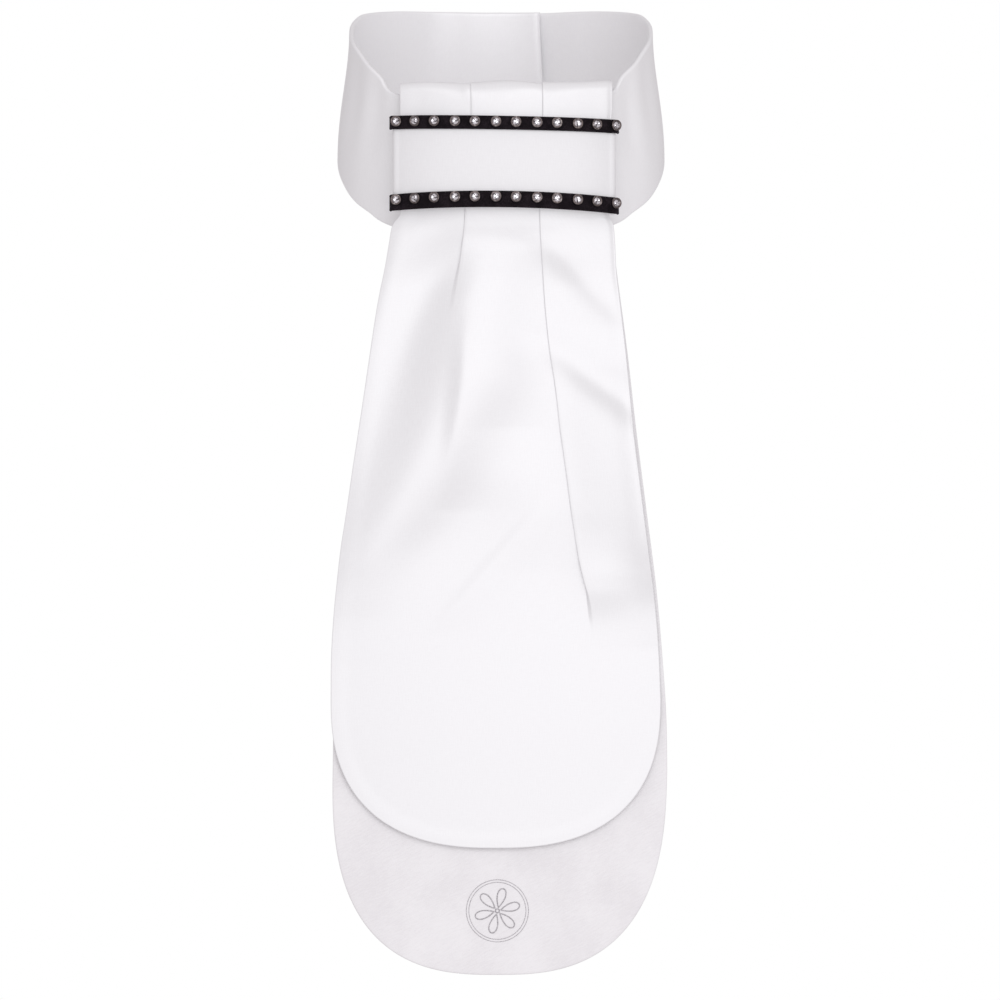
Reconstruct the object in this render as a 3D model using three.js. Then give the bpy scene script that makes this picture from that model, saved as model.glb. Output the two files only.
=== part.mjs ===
// A ready-tied riding cravat: a satin neck band, a pleated front tail over a longer rear
// tail, and a cross band that holds them, edged with velvet strips and cut stones.
// Millimetres. +X is the viewer's right, +Y runs from the throat to the nape, +Z is up.
// The origin is the middle of the neck hollow.

import * as THREE from "three";

// Cloth and trim
const CLOTH = 1.1;
const NECK_CLOTH = 1.8;
const VELVET = 1.0;
const REST_GAP = 0.3;

// Neck band: outer face, at half its height
const NECK = {
  halfWidthTop: 60.6,
  halfWidthBottom: 65.6,
  frontDepth: 52.4,
  backDepth: 60,
  frontRoundness: 3,
  backRoundness: 2,
  lean: Math.tan(THREE.MathUtils.degToRad(12)),
  lapDegrees: 32,
  lapShift: 1.95,
  lapStart: 148,
  widestShare: 0.99,
  sections: 60,
  rows: 5,
};

// Edges of the neck band, by the angle from the throat
const NECK_EDGES = [
  { angle: 0, top: -9.5, bottom: -60 },
  { angle: 15, top: -9.0, bottom: -59.4 },
  { angle: 28, top: -6.8, bottom: -57.6 },
  { angle: 36, top: -4.8, bottom: -55.3 },
  { angle: 40.5, top: -2.6, bottom: -53.4 },
  { angle: 44.5, top: 1.6, bottom: -51.2 },
  { angle: 57.5, top: 8.4, bottom: -45.6 },
  { angle: 73, top: 16, bottom: -37 },
  { angle: 80, top: 19.0, bottom: -33 },
  { angle: 85, top: 21.3, bottom: -29.8 },
  { angle: 88, top: 23.0, bottom: -27.2 },
  { angle: 90, top: 25, bottom: -24.2 },
  { angle: 95, top: 27.0, bottom: -21.2 },
  { angle: 100, top: 28.9, bottom: -18.2 },
  { angle: 112, top: 32.8, bottom: -11.6 },
  { angle: 140, top: 36.4, bottom: -1 },
  { angle: 180, top: 37.2, bottom: 3 },
];

// Soft dents where the wings of the neck band meet the panel
const NECK_DENTS = [
  { angle: -46, height: -12, angleSpread: 7, heightSpread: 13, depth: 1.4 },
  { angle: -65, height: -6, angleSpread: 9, heightSpread: 20, depth: 1.2 },
  { angle: 48, height: -14, angleSpread: 6, heightSpread: 15, depth: 1.5 },
  { angle: 67, height: -4, angleSpread: 9, heightSpread: 20, depth: 1.1 },
];

// Hook-and-loop patch between the lapped ends
const PATCH = { thickness: 1.5, halfDegrees: 12, height: 22, sections: 6, rows: 2 };

// The panel's middle surface: its place at the throat, its curve in plan, which fades
// downwards, and how far the tails fall back below the cross band
const PANEL = {
  front: -61.45,
  planRadius: 170,
  planFade: 0.8,
  fadeFrom: 50,
  fadeTo: 190,
  fall: 4.5,
  fallFrom: 50,
  fallTo: 82,
};

// The roll of the front tail over the neck band's upper edge, and the flap inside
const ROLL = { roundness: 2.3, steps: 6, flapLength: 21, flapSteps: 2, flapGap: 1.2, flapTaper: 0.1 };

// The panel's upper line: its height, the share of the pleats' thickness that is pressed in
// there, and how high the roll rises
const TOP_LINE = [
  { x: -39.3, height: -1.7, pressed: 0, rise: 4 },
  { x: -30, height: -1.2, pressed: 0, rise: 4 },
  { x: -22, height: -1.5, pressed: 0, rise: 5.5 },
  { x: -14.5, height: -1.8, pressed: 0.1, rise: 6.5 },
  { x: -11, height: -1.7, pressed: 0.9, rise: 6 },
  { x: -6.5, height: -1.3, pressed: 1, rise: 6.5 },
  { x: -1, height: -0.9, pressed: 1, rise: 6.5 },
  { x: 3, height: -0.8, pressed: 0.55, rise: 6.5 },
  { x: 8, height: -1.1, pressed: 0, rise: 5 },
  { x: 14, height: -1.7, pressed: 0.1, rise: 4.5 },
  { x: 17.5, height: -1.4, pressed: 0.9, rise: 6 },
  { x: 22, height: -1.2, pressed: 1, rise: 6 },
  { x: 27, height: -1.2, pressed: 1, rise: 5 },
  { x: 31, height: -1.1, pressed: 0.45, rise: 4 },
  { x: 36, height: -1.0, pressed: 0, rise: 4 },
  { x: 43.3, height: -0.7, pressed: 0, rise: 4 },
];

// Knife pleats: pitch of the layers, least length and turn of an opened pleat, the width over
// which the cloth climbs the layers, and the share of the full width below which pleats shrink
const PLEAT = {
  pitch: 1.5,
  leastReturn: 0.8,
  leastTurn: 0.01,
  rampWidth: 8,
  arcSteps: 3,
  returnSteps: 3,
  fullBelow: 0.6,
};

// Columns of the three panels between the pleats, as shares of each panel's width
const COLUMNS = {
  right: [0, 0.2, 0.4, 0.55, 0.7, 0.85],
  middle: [0, 0.3, 0.45, 0.58, 0.7, 0.85],
  left: [0, 0.2, 0.4, 0.6, 0.8, 1],
};

// Side edges of the front tail
const FRONT_EDGES = [
  { z: 0, left: -39.3, right: 43.3 },
  { z: -14, left: -39.3, right: 43.2 },
  { z: -22, left: -39.0, right: 41.6 },
  { z: -46, left: -39.0, right: 41.6 },
  { z: -53, left: -39.4, right: 42.0 },
  { z: -57, left: -42.2, right: 43.7 },
  { z: -63, left: -43.4, right: 44.3 },
  { z: -69, left: -44.4, right: 44.6 },
  { z: -75, left: -45.5, right: 44.9 },
  { z: -83, left: -47.2, right: 45.8 },
  { z: -92, left: -48.8, right: 46.9 },
  { z: -106, left: -50.9, right: 48.5 },
  { z: -121, left: -53.1, right: 49.9 },
  { z: -137, left: -55.5, right: 51.4 },
  { z: -152, left: -57.8, right: 53.2 },
  { z: -168, left: -60.1, right: 55.2 },
  { z: -183, left: -62.4, right: 57.1 },
  { z: -195, left: -63.8, right: 58.7 },
  { z: -208, left: -65.1, right: 60.3 },
  { z: -224, left: -66.1, right: 61.5 },
  { z: -241.6, left: -66.3, right: 62.2 },
];

// Each pleat of the front tail: the place of the fold, the width folded under and the angle
// through which the cloth turns
const LEFT_PLEAT = [
  { z: 0, fold: -11.6, under: 11, turn: 180 },
  { z: -14, fold: -11.6, under: 11, turn: 180 },
  { z: -22, fold: -12.4, under: 11, turn: 180 },
  { z: -46, fold: -13.6, under: 11, turn: 180 },
  { z: -53, fold: -14.0, under: 10.6, turn: 180 },
  { z: -57, fold: -14.2, under: 7, turn: 180 },
  { z: -63, fold: -14.8, under: 2.4, turn: 172 },
  { z: -69, fold: -15.8, under: 0.9, turn: 118 },
  { z: -75, fold: -17.0, under: 0.8, turn: 62 },
  { z: -83, fold: -18.4, under: 0.8, turn: 24 },
  { z: -92, fold: -19.8, under: 0.8, turn: 0 },
  { z: -106, fold: -22.0, under: 0.8, turn: 0 },
  { z: -121, fold: -23.5, under: 0.8, turn: 0 },
  { z: -137, fold: -24.5, under: 0.8, turn: 0 },
  { z: -152, fold: -25, under: 0.8, turn: 0 },
  { z: -241.6, fold: -25, under: 0.8, turn: 0 },
];
const RIGHT_PLEAT = [
  { z: 0, fold: 16.3, under: 11, turn: 180 },
  { z: -14, fold: 16.3, under: 11, turn: 180 },
  { z: -22, fold: 15.8, under: 11, turn: 180 },
  { z: -46, fold: 15.2, under: 11, turn: 180 },
  { z: -57, fold: 15.2, under: 10.8, turn: 180 },
  { z: -69, fold: 15.9, under: 10.3, turn: 180 },
  { z: -83, fold: 16.8, under: 9.6, turn: 180 },
  { z: -92, fold: 17.5, under: 9.2, turn: 180 },
  { z: -106, fold: 19.0, under: 8.5, turn: 180 },
  { z: -121, fold: 21.3, under: 7.7, turn: 180 },
  { z: -137, fold: 23.1, under: 6.7, turn: 180 },
  { z: -152, fold: 25.2, under: 5.6, turn: 180 },
  { z: -168, fold: 27.3, under: 4.4, turn: 180 },
  { z: -180, fold: 29.1, under: 3.0, turn: 180 },
  { z: -189, fold: 30.7, under: 1.8, turn: 162 },
  { z: -196, fold: 32.2, under: 0.9, turn: 118 },
  { z: -202, fold: 33.6, under: 0.8, turn: 62 },
  { z: -210, fold: 34.8, under: 0.8, turn: 14 },
  { z: -218, fold: 35.6, under: 0.8, turn: 0 },
  { z: -241.6, fold: 36.4, under: 0.8, turn: 0 },
];

// Rows of the hanging cloth. Both tails share those in which they fall back.
const FALL_HEIGHTS = [-47, -53, -57, -62, -68, -75, -83, -92];
const FRONT_HEIGHTS = [
  ...[-14, -22, -34, ...FALL_HEIGHTS, -104, -118, -135, -152, -168],
  ...[-183, -195, -202, -208, -216, -226, -241.6],
];

// The front tail hangs this far clear of the rear tail by its rounded end
const STAND_OFF = { distance: 1.4, from: 170, to: 260 };

// The rear tail's upper end leans back on to the neck band between these heights
const REAR_SEAT = { from: -14.1, to: -10.3, columns: 12 };

// Rear tail, row by row downwards
const REAR_ROWS = [
  { z: -10.3, left: -36.0, right: 39.0 },
  { z: -16, left: -38.0, right: 41.0 },
  { z: -46, left: -38.0, right: 40.8 },
  { z: -54, left: -38.2, right: 41.0 },
  { z: -60, left: -40.8, right: 43.2 },
  { z: -75, left: -43.5, right: 45.2 },
  { z: -106, left: -49.0, right: 49.3 },
  { z: -137, left: -53.8, right: 52.8 },
  { z: -168, left: -58.3, right: 56.7 },
  { z: -199, left: -62.0, right: 60.6 },
  { z: -230, left: -64.3, right: 63.3 },
  { z: -250, left: -65.3, right: 64.5 },
  { z: -268.8, left: -65.6, right: 64.8 },
];
const REAR_HEIGHTS = [
  ...[REAR_SEAT.to, -12.2, REAR_SEAT.from, -22, -34, ...FALL_HEIGHTS],
  ...[-104, -118, -135, -168, -199, -230, -250, -268.8],
];

// Both tails end in a rounded outline, below their widest row
const ROUND_END = { lastDegrees: 86 };
const FRONT_END = { widest: -241.6, length: 57.8, roundness: 2.5, drift: 0, steps: 8 };
const REAR_END = { widest: -268.8, length: 80.1, roundness: 2.7, drift: -1.4, steps: 9 };

// Soft folds that stand proud of the front tail, row by row downwards: place of the crest,
// height, and spread of the flank to the left and to the right
const SOFT_FOLDS = [
  [
    { z: -64, crest: -3, height: 0, left: 11, right: 20 },
    { z: -74, crest: -6, height: 2.0, left: 13, right: 20 },
    { z: -84, crest: -10, height: 3.8, left: 15, right: 20 },
    { z: -98, crest: -15, height: 5.0, left: 17, right: 22 },
    { z: -114, crest: -19, height: 5.6, left: 19, right: 22 },
    { z: -132, crest: -23.5, height: 5.8, left: 21, right: 22 },
    { z: -150, crest: -31, height: 5.6, left: 21, right: 22 },
    { z: -168, crest: -40, height: 4.6, left: 19, right: 20 },
    { z: -186, crest: -50, height: 3.0, left: 17, right: 18 },
    { z: -202, crest: -56, height: 1.4, left: 16, right: 18 },
    { z: -218, crest: -60, height: 0, left: 16, right: 18 },
  ],
  [
    { z: -54, crest: -40, height: 0, left: 8, right: 14 },
    { z: -62, crest: -42, height: 2.4, left: 8, right: 14 },
    { z: -75, crest: -45, height: 4.2, left: 9, right: 14 },
    { z: -90, crest: -49, height: 4.8, left: 9, right: 14 },
    { z: -105, crest: -53, height: 4.6, left: 10, right: 14 },
    { z: -125, crest: -57, height: 3.6, left: 10, right: 14 },
    { z: -150, crest: -62, height: 2.2, left: 10, right: 14 },
    { z: -185, crest: -66, height: 0, left: 10, right: 14 },
  ],
  [
    { z: -54, crest: 46, height: 0, left: 24, right: 10 },
    { z: -62, crest: 48, height: 2.6, left: 23, right: 10 },
    { z: -74, crest: 51, height: 4.6, left: 21, right: 10 },
    { z: -90, crest: 56, height: 6.2, left: 22, right: 10 },
    { z: -108, crest: 61, height: 7.2, left: 24, right: 10 },
    { z: -126, crest: 65, height: 8.2, left: 26, right: 10 },
    { z: -142, crest: 67, height: 9.0, left: 26, right: 9 },
    { z: -160, crest: 68, height: 9.2, left: 26, right: 9 },
    { z: -178, crest: 69, height: 8.0, left: 24, right: 9 },
    { z: -192, crest: 70, height: 5.2, left: 21, right: 9 },
    { z: -205, crest: 71, height: 1.8, left: 19, right: 9 },
    { z: -222, crest: 72, height: 0, left: 19, right: 9 },
  ],
  [
    { z: -60, crest: 17, height: 0, left: 8, right: 16 },
    { z: -69, crest: 25, height: 1.1, left: 8, right: 16 },
    { z: -78, crest: 33, height: 1.4, left: 8, right: 16 },
    { z: -88, crest: 42, height: 1.1, left: 8, right: 16 },
    { z: -98, crest: 50, height: 0, left: 8, right: 16 },
  ],
  [
    { z: -96, crest: 14, height: 0, left: 10, right: 18 },
    { z: -109, crest: 28, height: 1.6, left: 10, right: 18 },
    { z: -120, crest: 41.5, height: 2.1, left: 10, right: 18 },
    { z: -131, crest: 55, height: 1.6, left: 10, right: 18 },
    { z: -142, crest: 67, height: 0, left: 10, right: 18 },
  ],
];

// Cross band: its ends, the height of its velvet strips and the room for the pleats inside
const BAND = {
  left: -42.1,
  right: 44.6,
  bend: 1.9,
  bendRoundness: 3.2,
  pleatRoom: 3.3,
  pleatFlatness: 6,
  endRoom: 0.3,
  runSteps: 16,
  bendSteps: 8,
  rows: 2,
};
const TOP_STRIP = {
  name: "velvet_strip_top",
  middle: -18.15,
  tilt: -0.75,
  arch: 0.1,
  width: 5.3,
  stoneRise: 0.4,
};
const BOTTOM_STRIP = {
  name: "velvet_strip_bottom",
  middle: -49.1,
  tilt: -0.6,
  arch: 1.5,
  width: 6.4,
  stoneRise: 1.0,
};
const STRIP_STEPS = 48;

// Round stones in cup settings
const STONE = {
  count: 12,
  sides: 10,
  cupRadius: 2.1,
  cupHeight: 0.6,
  rimRadius: 1.86,
  rimHeight: 0.86,
  girdleRadius: 1.7,
  girdleHeight: 0.7,
  tableRadius: 1.0,
  tableHeight: 1.3,
  firstInset: 6.5,
  spacing: 7.95,
};

const MATERIALS = {
  satin: new THREE.MeshStandardMaterial({ color: 0xf1eff3, roughness: 0.42, metalness: 0 }),
  matteBack: new THREE.MeshStandardMaterial({ color: 0xebe9ee, roughness: 0.75, metalness: 0 }),
  velvet: new THREE.MeshStandardMaterial({ color: 0x18131a, roughness: 0.95, metalness: 0 }),
  hookAndLoop: new THREE.MeshStandardMaterial({ color: 0xe4e2e6, roughness: 0.9, metalness: 0 }),
  stone: new THREE.MeshStandardMaterial({ color: 0xb9b7bd, roughness: 0.12, metalness: 0.6 }),
};

const { lerp, clamp, smoothstep, degToRad } = THREE.MathUtils;

function signedPower(value, exponent) {
  return Math.sign(value) * Math.abs(value) ** exponent;
}

// A smooth curve through one column of a table, by another
function along(rows, key, at, column) {
  const last = rows.length - 1;
  const rising = rows[last][key] > rows[0][key];
  const place = rising
    ? clamp(at, rows[0][key], rows[last][key])
    : clamp(at, rows[last][key], rows[0][key]);
  const passed = (row) => (rising ? row[key] <= place : row[key] >= place);
  const start = clamp(rows.filter(passed).length - 1, 0, last - 1);
  const slope = (index) => {
    const before = rows[Math.max(index - 1, 0)];
    const after = rows[Math.min(index + 1, last)];
    return (after[column] - before[column]) / (after[key] - before[key]);
  };
  const [a, b] = [rows[start], rows[start + 1]];
  const span = b[key] - a[key];
  const t = (place - a[key]) / span;
  const ease = t * t * (3 - 2 * t);
  const leave = t * (1 - t) ** 2;
  const arrive = t * t * (t - 1);
  return lerp(a[column], b[column], ease) + span * (leave * slope(start) + arrive * slope(start + 1));
}

// A closed wall of the given thickness round a grid of points on its middle surface
function wall(grid, thickness, closedRing = false) {
  const rowCount = grid.length;
  const columnCount = grid[0].length;
  const wrap = (column) => (
    closedRing ? (column + columnCount) % columnCount : clamp(column, 0, columnCount - 1)
  );
  const vertices = [];
  const indices = [];
  for (let row = 0; row < rowCount; row += 1) {
    for (let column = 0; column < columnCount; column += 1) {
      const acrossCloth = new THREE.Vector3()
        .subVectors(grid[row][wrap(column + 1)], grid[row][wrap(column - 1)]);
      const downCloth = new THREE.Vector3()
        .subVectors(grid[Math.min(row + 1, rowCount - 1)][column], grid[Math.max(row - 1, 0)][column]);
      const normal = acrossCloth.cross(downCloth).normalize();
      const middle = grid[row][column];
      vertices.push(middle.clone().addScaledVector(normal, thickness / 2));
      vertices.push(middle.clone().addScaledVector(normal, -thickness / 2));
    }
  }
  const outer = (row, column) => 2 * (row * columnCount + wrap(column));
  const inner = (row, column) => outer(row, column) + 1;
  const quad = (a, b, c, d) => indices.push(a, b, c, a, c, d);
  const columnSteps = closedRing ? columnCount : columnCount - 1;
  for (let row = 0; row < rowCount - 1; row += 1) {
    for (let column = 0; column < columnSteps; column += 1) {
      quad(outer(row, column), outer(row, column + 1), outer(row + 1, column + 1), outer(row + 1, column));
      quad(inner(row, column), inner(row + 1, column), inner(row + 1, column + 1), inner(row, column + 1));
    }
    if (!closedRing) {
      const end = columnCount - 1;
      quad(outer(row, 0), outer(row + 1, 0), inner(row + 1, 0), inner(row, 0));
      quad(outer(row, end), inner(row, end), inner(row + 1, end), outer(row + 1, end));
    }
  }
  const bottom = rowCount - 1;
  for (let column = 0; column < columnSteps; column += 1) {
    quad(outer(0, column), inner(0, column), inner(0, column + 1), outer(0, column + 1));
    quad(outer(bottom, column), outer(bottom, column + 1), inner(bottom, column + 1), inner(bottom, column));
  }
  const geometry = new THREE.BufferGeometry().setFromPoints(vertices);
  geometry.setIndex(indices);
  geometry.computeVertexNormals();
  return geometry;
}

// Neck band

function neckEdge(angle, column) {
  const turned = Math.abs(angle);
  return along(NECK_EDGES, "angle", turned > 180 ? 360 - turned : turned, column);
}

// Outer face of the neck band in plan, moved outwards by shift, at a share of its height
function neckPoint(angle, share, shift) {
  const phi = degToRad(angle);
  const front = Math.cos(phi) > 0;
  const power = 2 / (front ? NECK.frontRoundness : NECK.backRoundness);
  const halfWidth = lerp(NECK.halfWidthBottom, NECK.halfWidthTop, smoothstep(share, 0, 1));
  const depth = front ? NECK.frontDepth : NECK.backDepth;
  const top = neckEdge(angle, "top");
  const bottom = neckEdge(angle, "bottom");
  const z = lerp(bottom, top, share);
  const x = halfWidth * signedPower(Math.sin(phi), power);
  const y = -depth * signedPower(Math.cos(phi), power) - NECK.lean * (z - (top + bottom) / 2);
  const outward = new THREE.Vector2(
    signedPower(Math.sin(phi), 2 - power) / halfWidth,
    -signedPower(Math.cos(phi), 2 - power) / depth,
  ).normalize();
  return new THREE.Vector3(x + shift * outward.x, y + shift * outward.y, z);
}

function neckDent(angle, height) {
  return NECK_DENTS.reduce((sum, dent) => {
    const across = (angle - dent.angle) / dent.angleSpread;
    const up = (height - dent.height) / dent.heightSpread;
    return sum + dent.depth * Math.exp(-across * across - up * up);
  }, 0);
}

function collarBand() {
  const reach = 180 + NECK.lapDegrees / 2;
  const grid = [];
  for (let row = 0; row <= NECK.rows; row += 1) {
    const share = 1 - row / NECK.rows;
    const line = [];
    for (let section = 0; section <= NECK.sections; section += 1) {
      const angle = lerp(-reach, reach, section / NECK.sections);
      const lap = NECK.lapShift * smoothstep(Math.abs(angle), NECK.lapStart, 180 - NECK.lapDegrees / 2);
      const height = lerp(neckEdge(angle, "bottom"), neckEdge(angle, "top"), share);
      const shift = Math.sign(angle) * lap - NECK_CLOTH / 2 - neckDent(angle, height);
      line.push(neckPoint(angle, share, shift));
    }
    grid.push(line);
  }
  return wall(grid, NECK_CLOTH);
}

function neckFastener() {
  const middle = (neckEdge(180, "top") + neckEdge(180, "bottom")) / 2;
  const bandHeight = neckEdge(180, "top") - neckEdge(180, "bottom");
  const grid = [];
  for (let row = 0; row <= PATCH.rows; row += 1) {
    const z = middle + PATCH.height * (0.5 - row / PATCH.rows);
    const share = 0.5 + (z - middle) / bandHeight;
    const line = [];
    for (let section = 0; section <= PATCH.sections; section += 1) {
      const angle = 180 + PATCH.halfDegrees * (2 * section / PATCH.sections - 1);
      line.push(neckPoint(angle, share, -NECK_CLOTH / 2));
    }
    grid.push(line);
  }
  return wall(grid, PATCH.thickness);
}

// The neck band's inner face behind the panel
function neckInnerY(x, z) {
  const power = NECK.frontRoundness;
  let halfWidth = NECK.halfWidthTop;
  let angle = 0;
  for (let pass = 0; pass < 4; pass += 1) {
    const place = Math.min(Math.abs(x) / halfWidth, NECK.widestShare);
    angle = THREE.MathUtils.radToDeg(Math.asin(place ** (power / 2)));
    const share = (z - neckEdge(angle, "bottom")) / (neckEdge(angle, "top") - neckEdge(angle, "bottom"));
    halfWidth = lerp(NECK.halfWidthBottom, NECK.halfWidthTop, smoothstep(share, 0, 1));
  }
  const place = Math.min(Math.abs(x) / halfWidth, NECK.widestShare);
  const reach = (1 - place ** power) ** (1 / power);
  const slope = (NECK.frontDepth / halfWidth) * (place / reach) ** (power - 1);
  const middle = (neckEdge(angle, "top") + neckEdge(angle, "bottom")) / 2;
  const inwards = (NECK_CLOTH + neckDent(Math.sign(x) * angle, z)) * Math.hypot(1, slope);
  return -NECK.frontDepth * reach - NECK.lean * (z - middle) + inwards;
}

// Tails

// Middle surface of the panel's lowest layer
function panelY(x, z) {
  const curve = 1 - PANEL.planFade * smoothstep(-z, PANEL.fadeFrom, PANEL.fadeTo);
  const fall = PANEL.fall * smoothstep(-z, PANEL.fallFrom, PANEL.fallTo);
  return PANEL.front + (curve * x * x) / (2 * PANEL.planRadius) + fall;
}

function tableRow(rows, z) {
  const row = { z };
  Object.keys(rows[0]).filter((key) => key !== "z").forEach((key) => {
    row[key] = along(rows, "z", z, key);
  });
  return row;
}

// How far the front tail stands proud of the panel's surface
function softFolds(x, z) {
  const standOff = STAND_OFF.distance * smoothstep(-z, STAND_OFF.from, STAND_OFF.to);
  return SOFT_FOLDS.reduce((sum, fold) => {
    if (z >= fold[0].z || z <= fold.at(-1).z) return sum;
    const { crest, height, left, right } = tableRow(fold, z);
    const across = (x - crest) / (x < crest ? left : right);
    return sum + height * Math.exp(-across * across);
  }, standOff);
}

// One pleat as two arcs and the return between them, placed from the viewer's right to the left
function pleatArcs(pleat, squeeze) {
  const turn = degToRad(Math.max(pleat.turn, PLEAT.leastTurn));
  const run = Math.max(pleat.under, PLEAT.leastReturn) * squeeze;
  const radius = (Math.PI * PLEAT.pitch * squeeze) / (2 * turn);
  const advance = 2 * radius * Math.sin(turn) + run * Math.cos(turn);
  const drop = 2 * radius * (1 - Math.cos(turn)) + run * Math.sin(turn);
  const middle = -pleat.fold - (PLEAT.pitch / 2 + run / 2) * (turn / Math.PI);
  const hidden = middle - (run / 2 + PLEAT.pitch / 2) * (turn / Math.PI);
  return { turn, radius, drop, hidden, start: middle - advance / 2, end: middle + advance / 2 };
}

// The points of one pleat, from the fold on top to the fold below
function pleatPoints({ turn, radius, drop, start, end }) {
  const points = [];
  for (let step = 0; step <= PLEAT.arcSteps; step += 1) {
    const turned = (turn * step) / PLEAT.arcSteps;
    points.push({ x: start + radius * Math.sin(turned), level: drop - radius * (1 - Math.cos(turned)) });
  }
  const upper = points.at(-1);
  const lower = { x: end - radius * Math.sin(turn), level: radius * (1 - Math.cos(turn)) };
  for (let step = 1; step < PLEAT.returnSteps; step += 1) {
    const share = step / PLEAT.returnSteps;
    points.push({ x: lerp(upper.x, lower.x, share), level: lerp(upper.level, lower.level, share) });
  }
  for (let step = PLEAT.arcSteps; step > 0; step -= 1) {
    const turned = (turn * step) / PLEAT.arcSteps;
    points.push({ x: end - radius * Math.sin(turned), level: radius * (1 - Math.cos(turned)) });
  }
  return points;
}

// A row of the front tail as points of place across and level above the lowest layer. It is
// laid from the viewer's right, each panel over the one to its left, and given from the left.
function pleatedRow(row) {
  const widest = FRONT_EDGES.at(-1);
  const squeeze = Math.min(1, (row.right - row.left) / (PLEAT.fullBelow * (widest.right - widest.left)));
  const first = pleatArcs(row.rightPleat, squeeze);
  const second = pleatArcs(row.leftPleat, squeeze);
  const panels = [
    { from: -row.right, to: first.start, shares: COLUMNS.right, pleat: first },
    { from: first.end, to: second.start, shares: COLUMNS.middle, pleat: second },
    { from: second.end, to: -row.left, shares: COLUMNS.left, pleat: null },
  ];
  const points = [];
  panels.forEach(({ from, to, shares, pleat }) => {
    shares.forEach((share) => {
      const x = lerp(from, to, share);
      const rise = pleat ? smoothstep(x, pleat.hidden - PLEAT.rampWidth, pleat.hidden) : 0;
      points.push({ x, level: pleat ? pleat.drop * rise : 0 });
    });
    if (pleat) points.push(...pleatPoints(pleat));
  });
  return points.reverse().map(({ x, level }) => ({ x: -x, level }));
}

function frontRow(z) {
  return {
    ...tableRow(FRONT_EDGES, z),
    leftPleat: tableRow(LEFT_PLEAT, z),
    rightPleat: tableRow(RIGHT_PLEAT, z),
  };
}

// Rows of a tail's rounded end, from its widest row down
function endRows(widestRow, end) {
  const middle = (widestRow.left + widestRow.right) / 2;
  const half = (widestRow.right - widestRow.left) / 2;
  const rows = [];
  for (let step = 1; step <= end.steps; step += 1) {
    const turn = degToRad(ROUND_END.lastDegrees * (step / end.steps));
    const width = half * Math.cos(turn) ** (2 / end.roundness);
    const share = Math.sin(turn) ** (2 / end.roundness);
    const centre = middle + end.drift * share;
    const z = end.widest - end.length * share;
    rows.push({ ...widestRow, z, left: centre - width, right: centre + width });
  }
  return rows;
}

// Rows of the rounded end keep the pleats' columns in the same share of the width
function narrowedRow(row, widestRow) {
  const share = (row.right - row.left) / (widestRow.right - widestRow.left);
  const middle = (row.left + row.right) / 2;
  const widestMiddle = (widestRow.left + widestRow.right) / 2;
  const moved = (pleat) => ({ ...pleat, fold: middle + share * (pleat.fold - widestMiddle) });
  return { ...row, leftPleat: moved(widestRow.leftPleat), rightPleat: moved(widestRow.rightPleat) };
}

// A point of the front tail at a place round the roll, x across and level above the base.
// Turn 0 is the front, half a turn the inside, and down is the length past the roll.
function rolledPoint(x, level, turn, down) {
  const rise = along(TOP_LINE, "x", x, "rise");
  const pressed = 2 * PLEAT.pitch * along(TOP_LINE, "x", x, "pressed");
  const start = along(TOP_LINE, "x", x, "height") - pressed - rise - CLOTH / 2;
  const front = panelY(x, start);
  const inside = neckInnerY(x, start) + ROLL.flapGap + CLOTH / 2;
  const middle = (front + inside) / 2;
  const half = (inside - front) / 2;
  const power = 2 / ROLL.roundness;
  const outward = new THREE.Vector2(
    -signedPower(Math.cos(turn), 2 - power) / half,
    signedPower(Math.sin(turn), 2 - power) / rise,
  ).normalize();
  const lean = down * NECK.lean * smoothstep(turn, 0, Math.PI);
  return new THREE.Vector3(
    x,
    middle - half * signedPower(Math.cos(turn), power) + lean + level * outward.x,
    start + rise * signedPower(Math.sin(turn), power) - down + level * outward.y,
  );
}

function frontTail() {
  const grid = [];
  const topRow = pleatedRow(frontRow(0));
  for (let step = 0; step < ROLL.flapSteps; step += 1) {
    const left = 1 - step / ROLL.flapSteps;
    const width = 1 - ROLL.flapTaper * left;
    const down = ROLL.flapLength * left;
    grid.push(topRow.map(({ x, level }) => rolledPoint(x * width, level, Math.PI, down)));
  }
  for (let step = 0; step <= ROLL.steps; step += 1) {
    const turn = Math.PI * (1 - step / ROLL.steps);
    grid.push(topRow.map(({ x, level }) => rolledPoint(x, level, turn, 0)));
  }
  const rows = FRONT_HEIGHTS.map(frontRow);
  const widest = rows.at(-1);
  endRows(widest, FRONT_END).forEach((row) => rows.push(narrowedRow(row, widest)));
  rows.forEach((row) => {
    grid.push(pleatedRow(row).map(({ x, level }) => (
      new THREE.Vector3(x, panelY(x, row.z) - level - softFolds(x, row.z), row.z)
    )));
  });
  return wall(grid, CLOTH);
}

// The rear tail lies one layer behind the panel, and its upper end leans on the neck band
function rearTail() {
  const layer = CLOTH + REST_GAP;
  const rows = REAR_HEIGHTS.map((z) => tableRow(REAR_ROWS, z));
  rows.push(...endRows(REAR_ROWS.at(-1), REAR_END));
  const grid = rows.map((row) => {
    const line = [];
    for (let column = 0; column <= REAR_SEAT.columns; column += 1) {
      const x = lerp(row.left, row.right, column / REAR_SEAT.columns);
      const hanging = panelY(x, row.z) + layer;
      const seated = neckInnerY(x, row.z) - NECK_CLOTH - REST_GAP - CLOTH / 2;
      const lean = smoothstep(row.z, REAR_SEAT.from, REAR_SEAT.to);
      line.push(new THREE.Vector3(x, lerp(hanging, seated, lean), row.z));
    }
    return line;
  });
  return wall(grid, CLOTH);
}

// Cross band

const bandMiddle = (BAND.left + BAND.right) / 2;
const bandHalf = (BAND.right - BAND.left) / 2;

function bandPlace(x) {
  return (x - bandMiddle) / bandHalf;
}

function stripHeight(strip, x) {
  const place = bandPlace(x);
  return strip.middle + strip.tilt * place + strip.arch * (1 - place * place);
}

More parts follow.
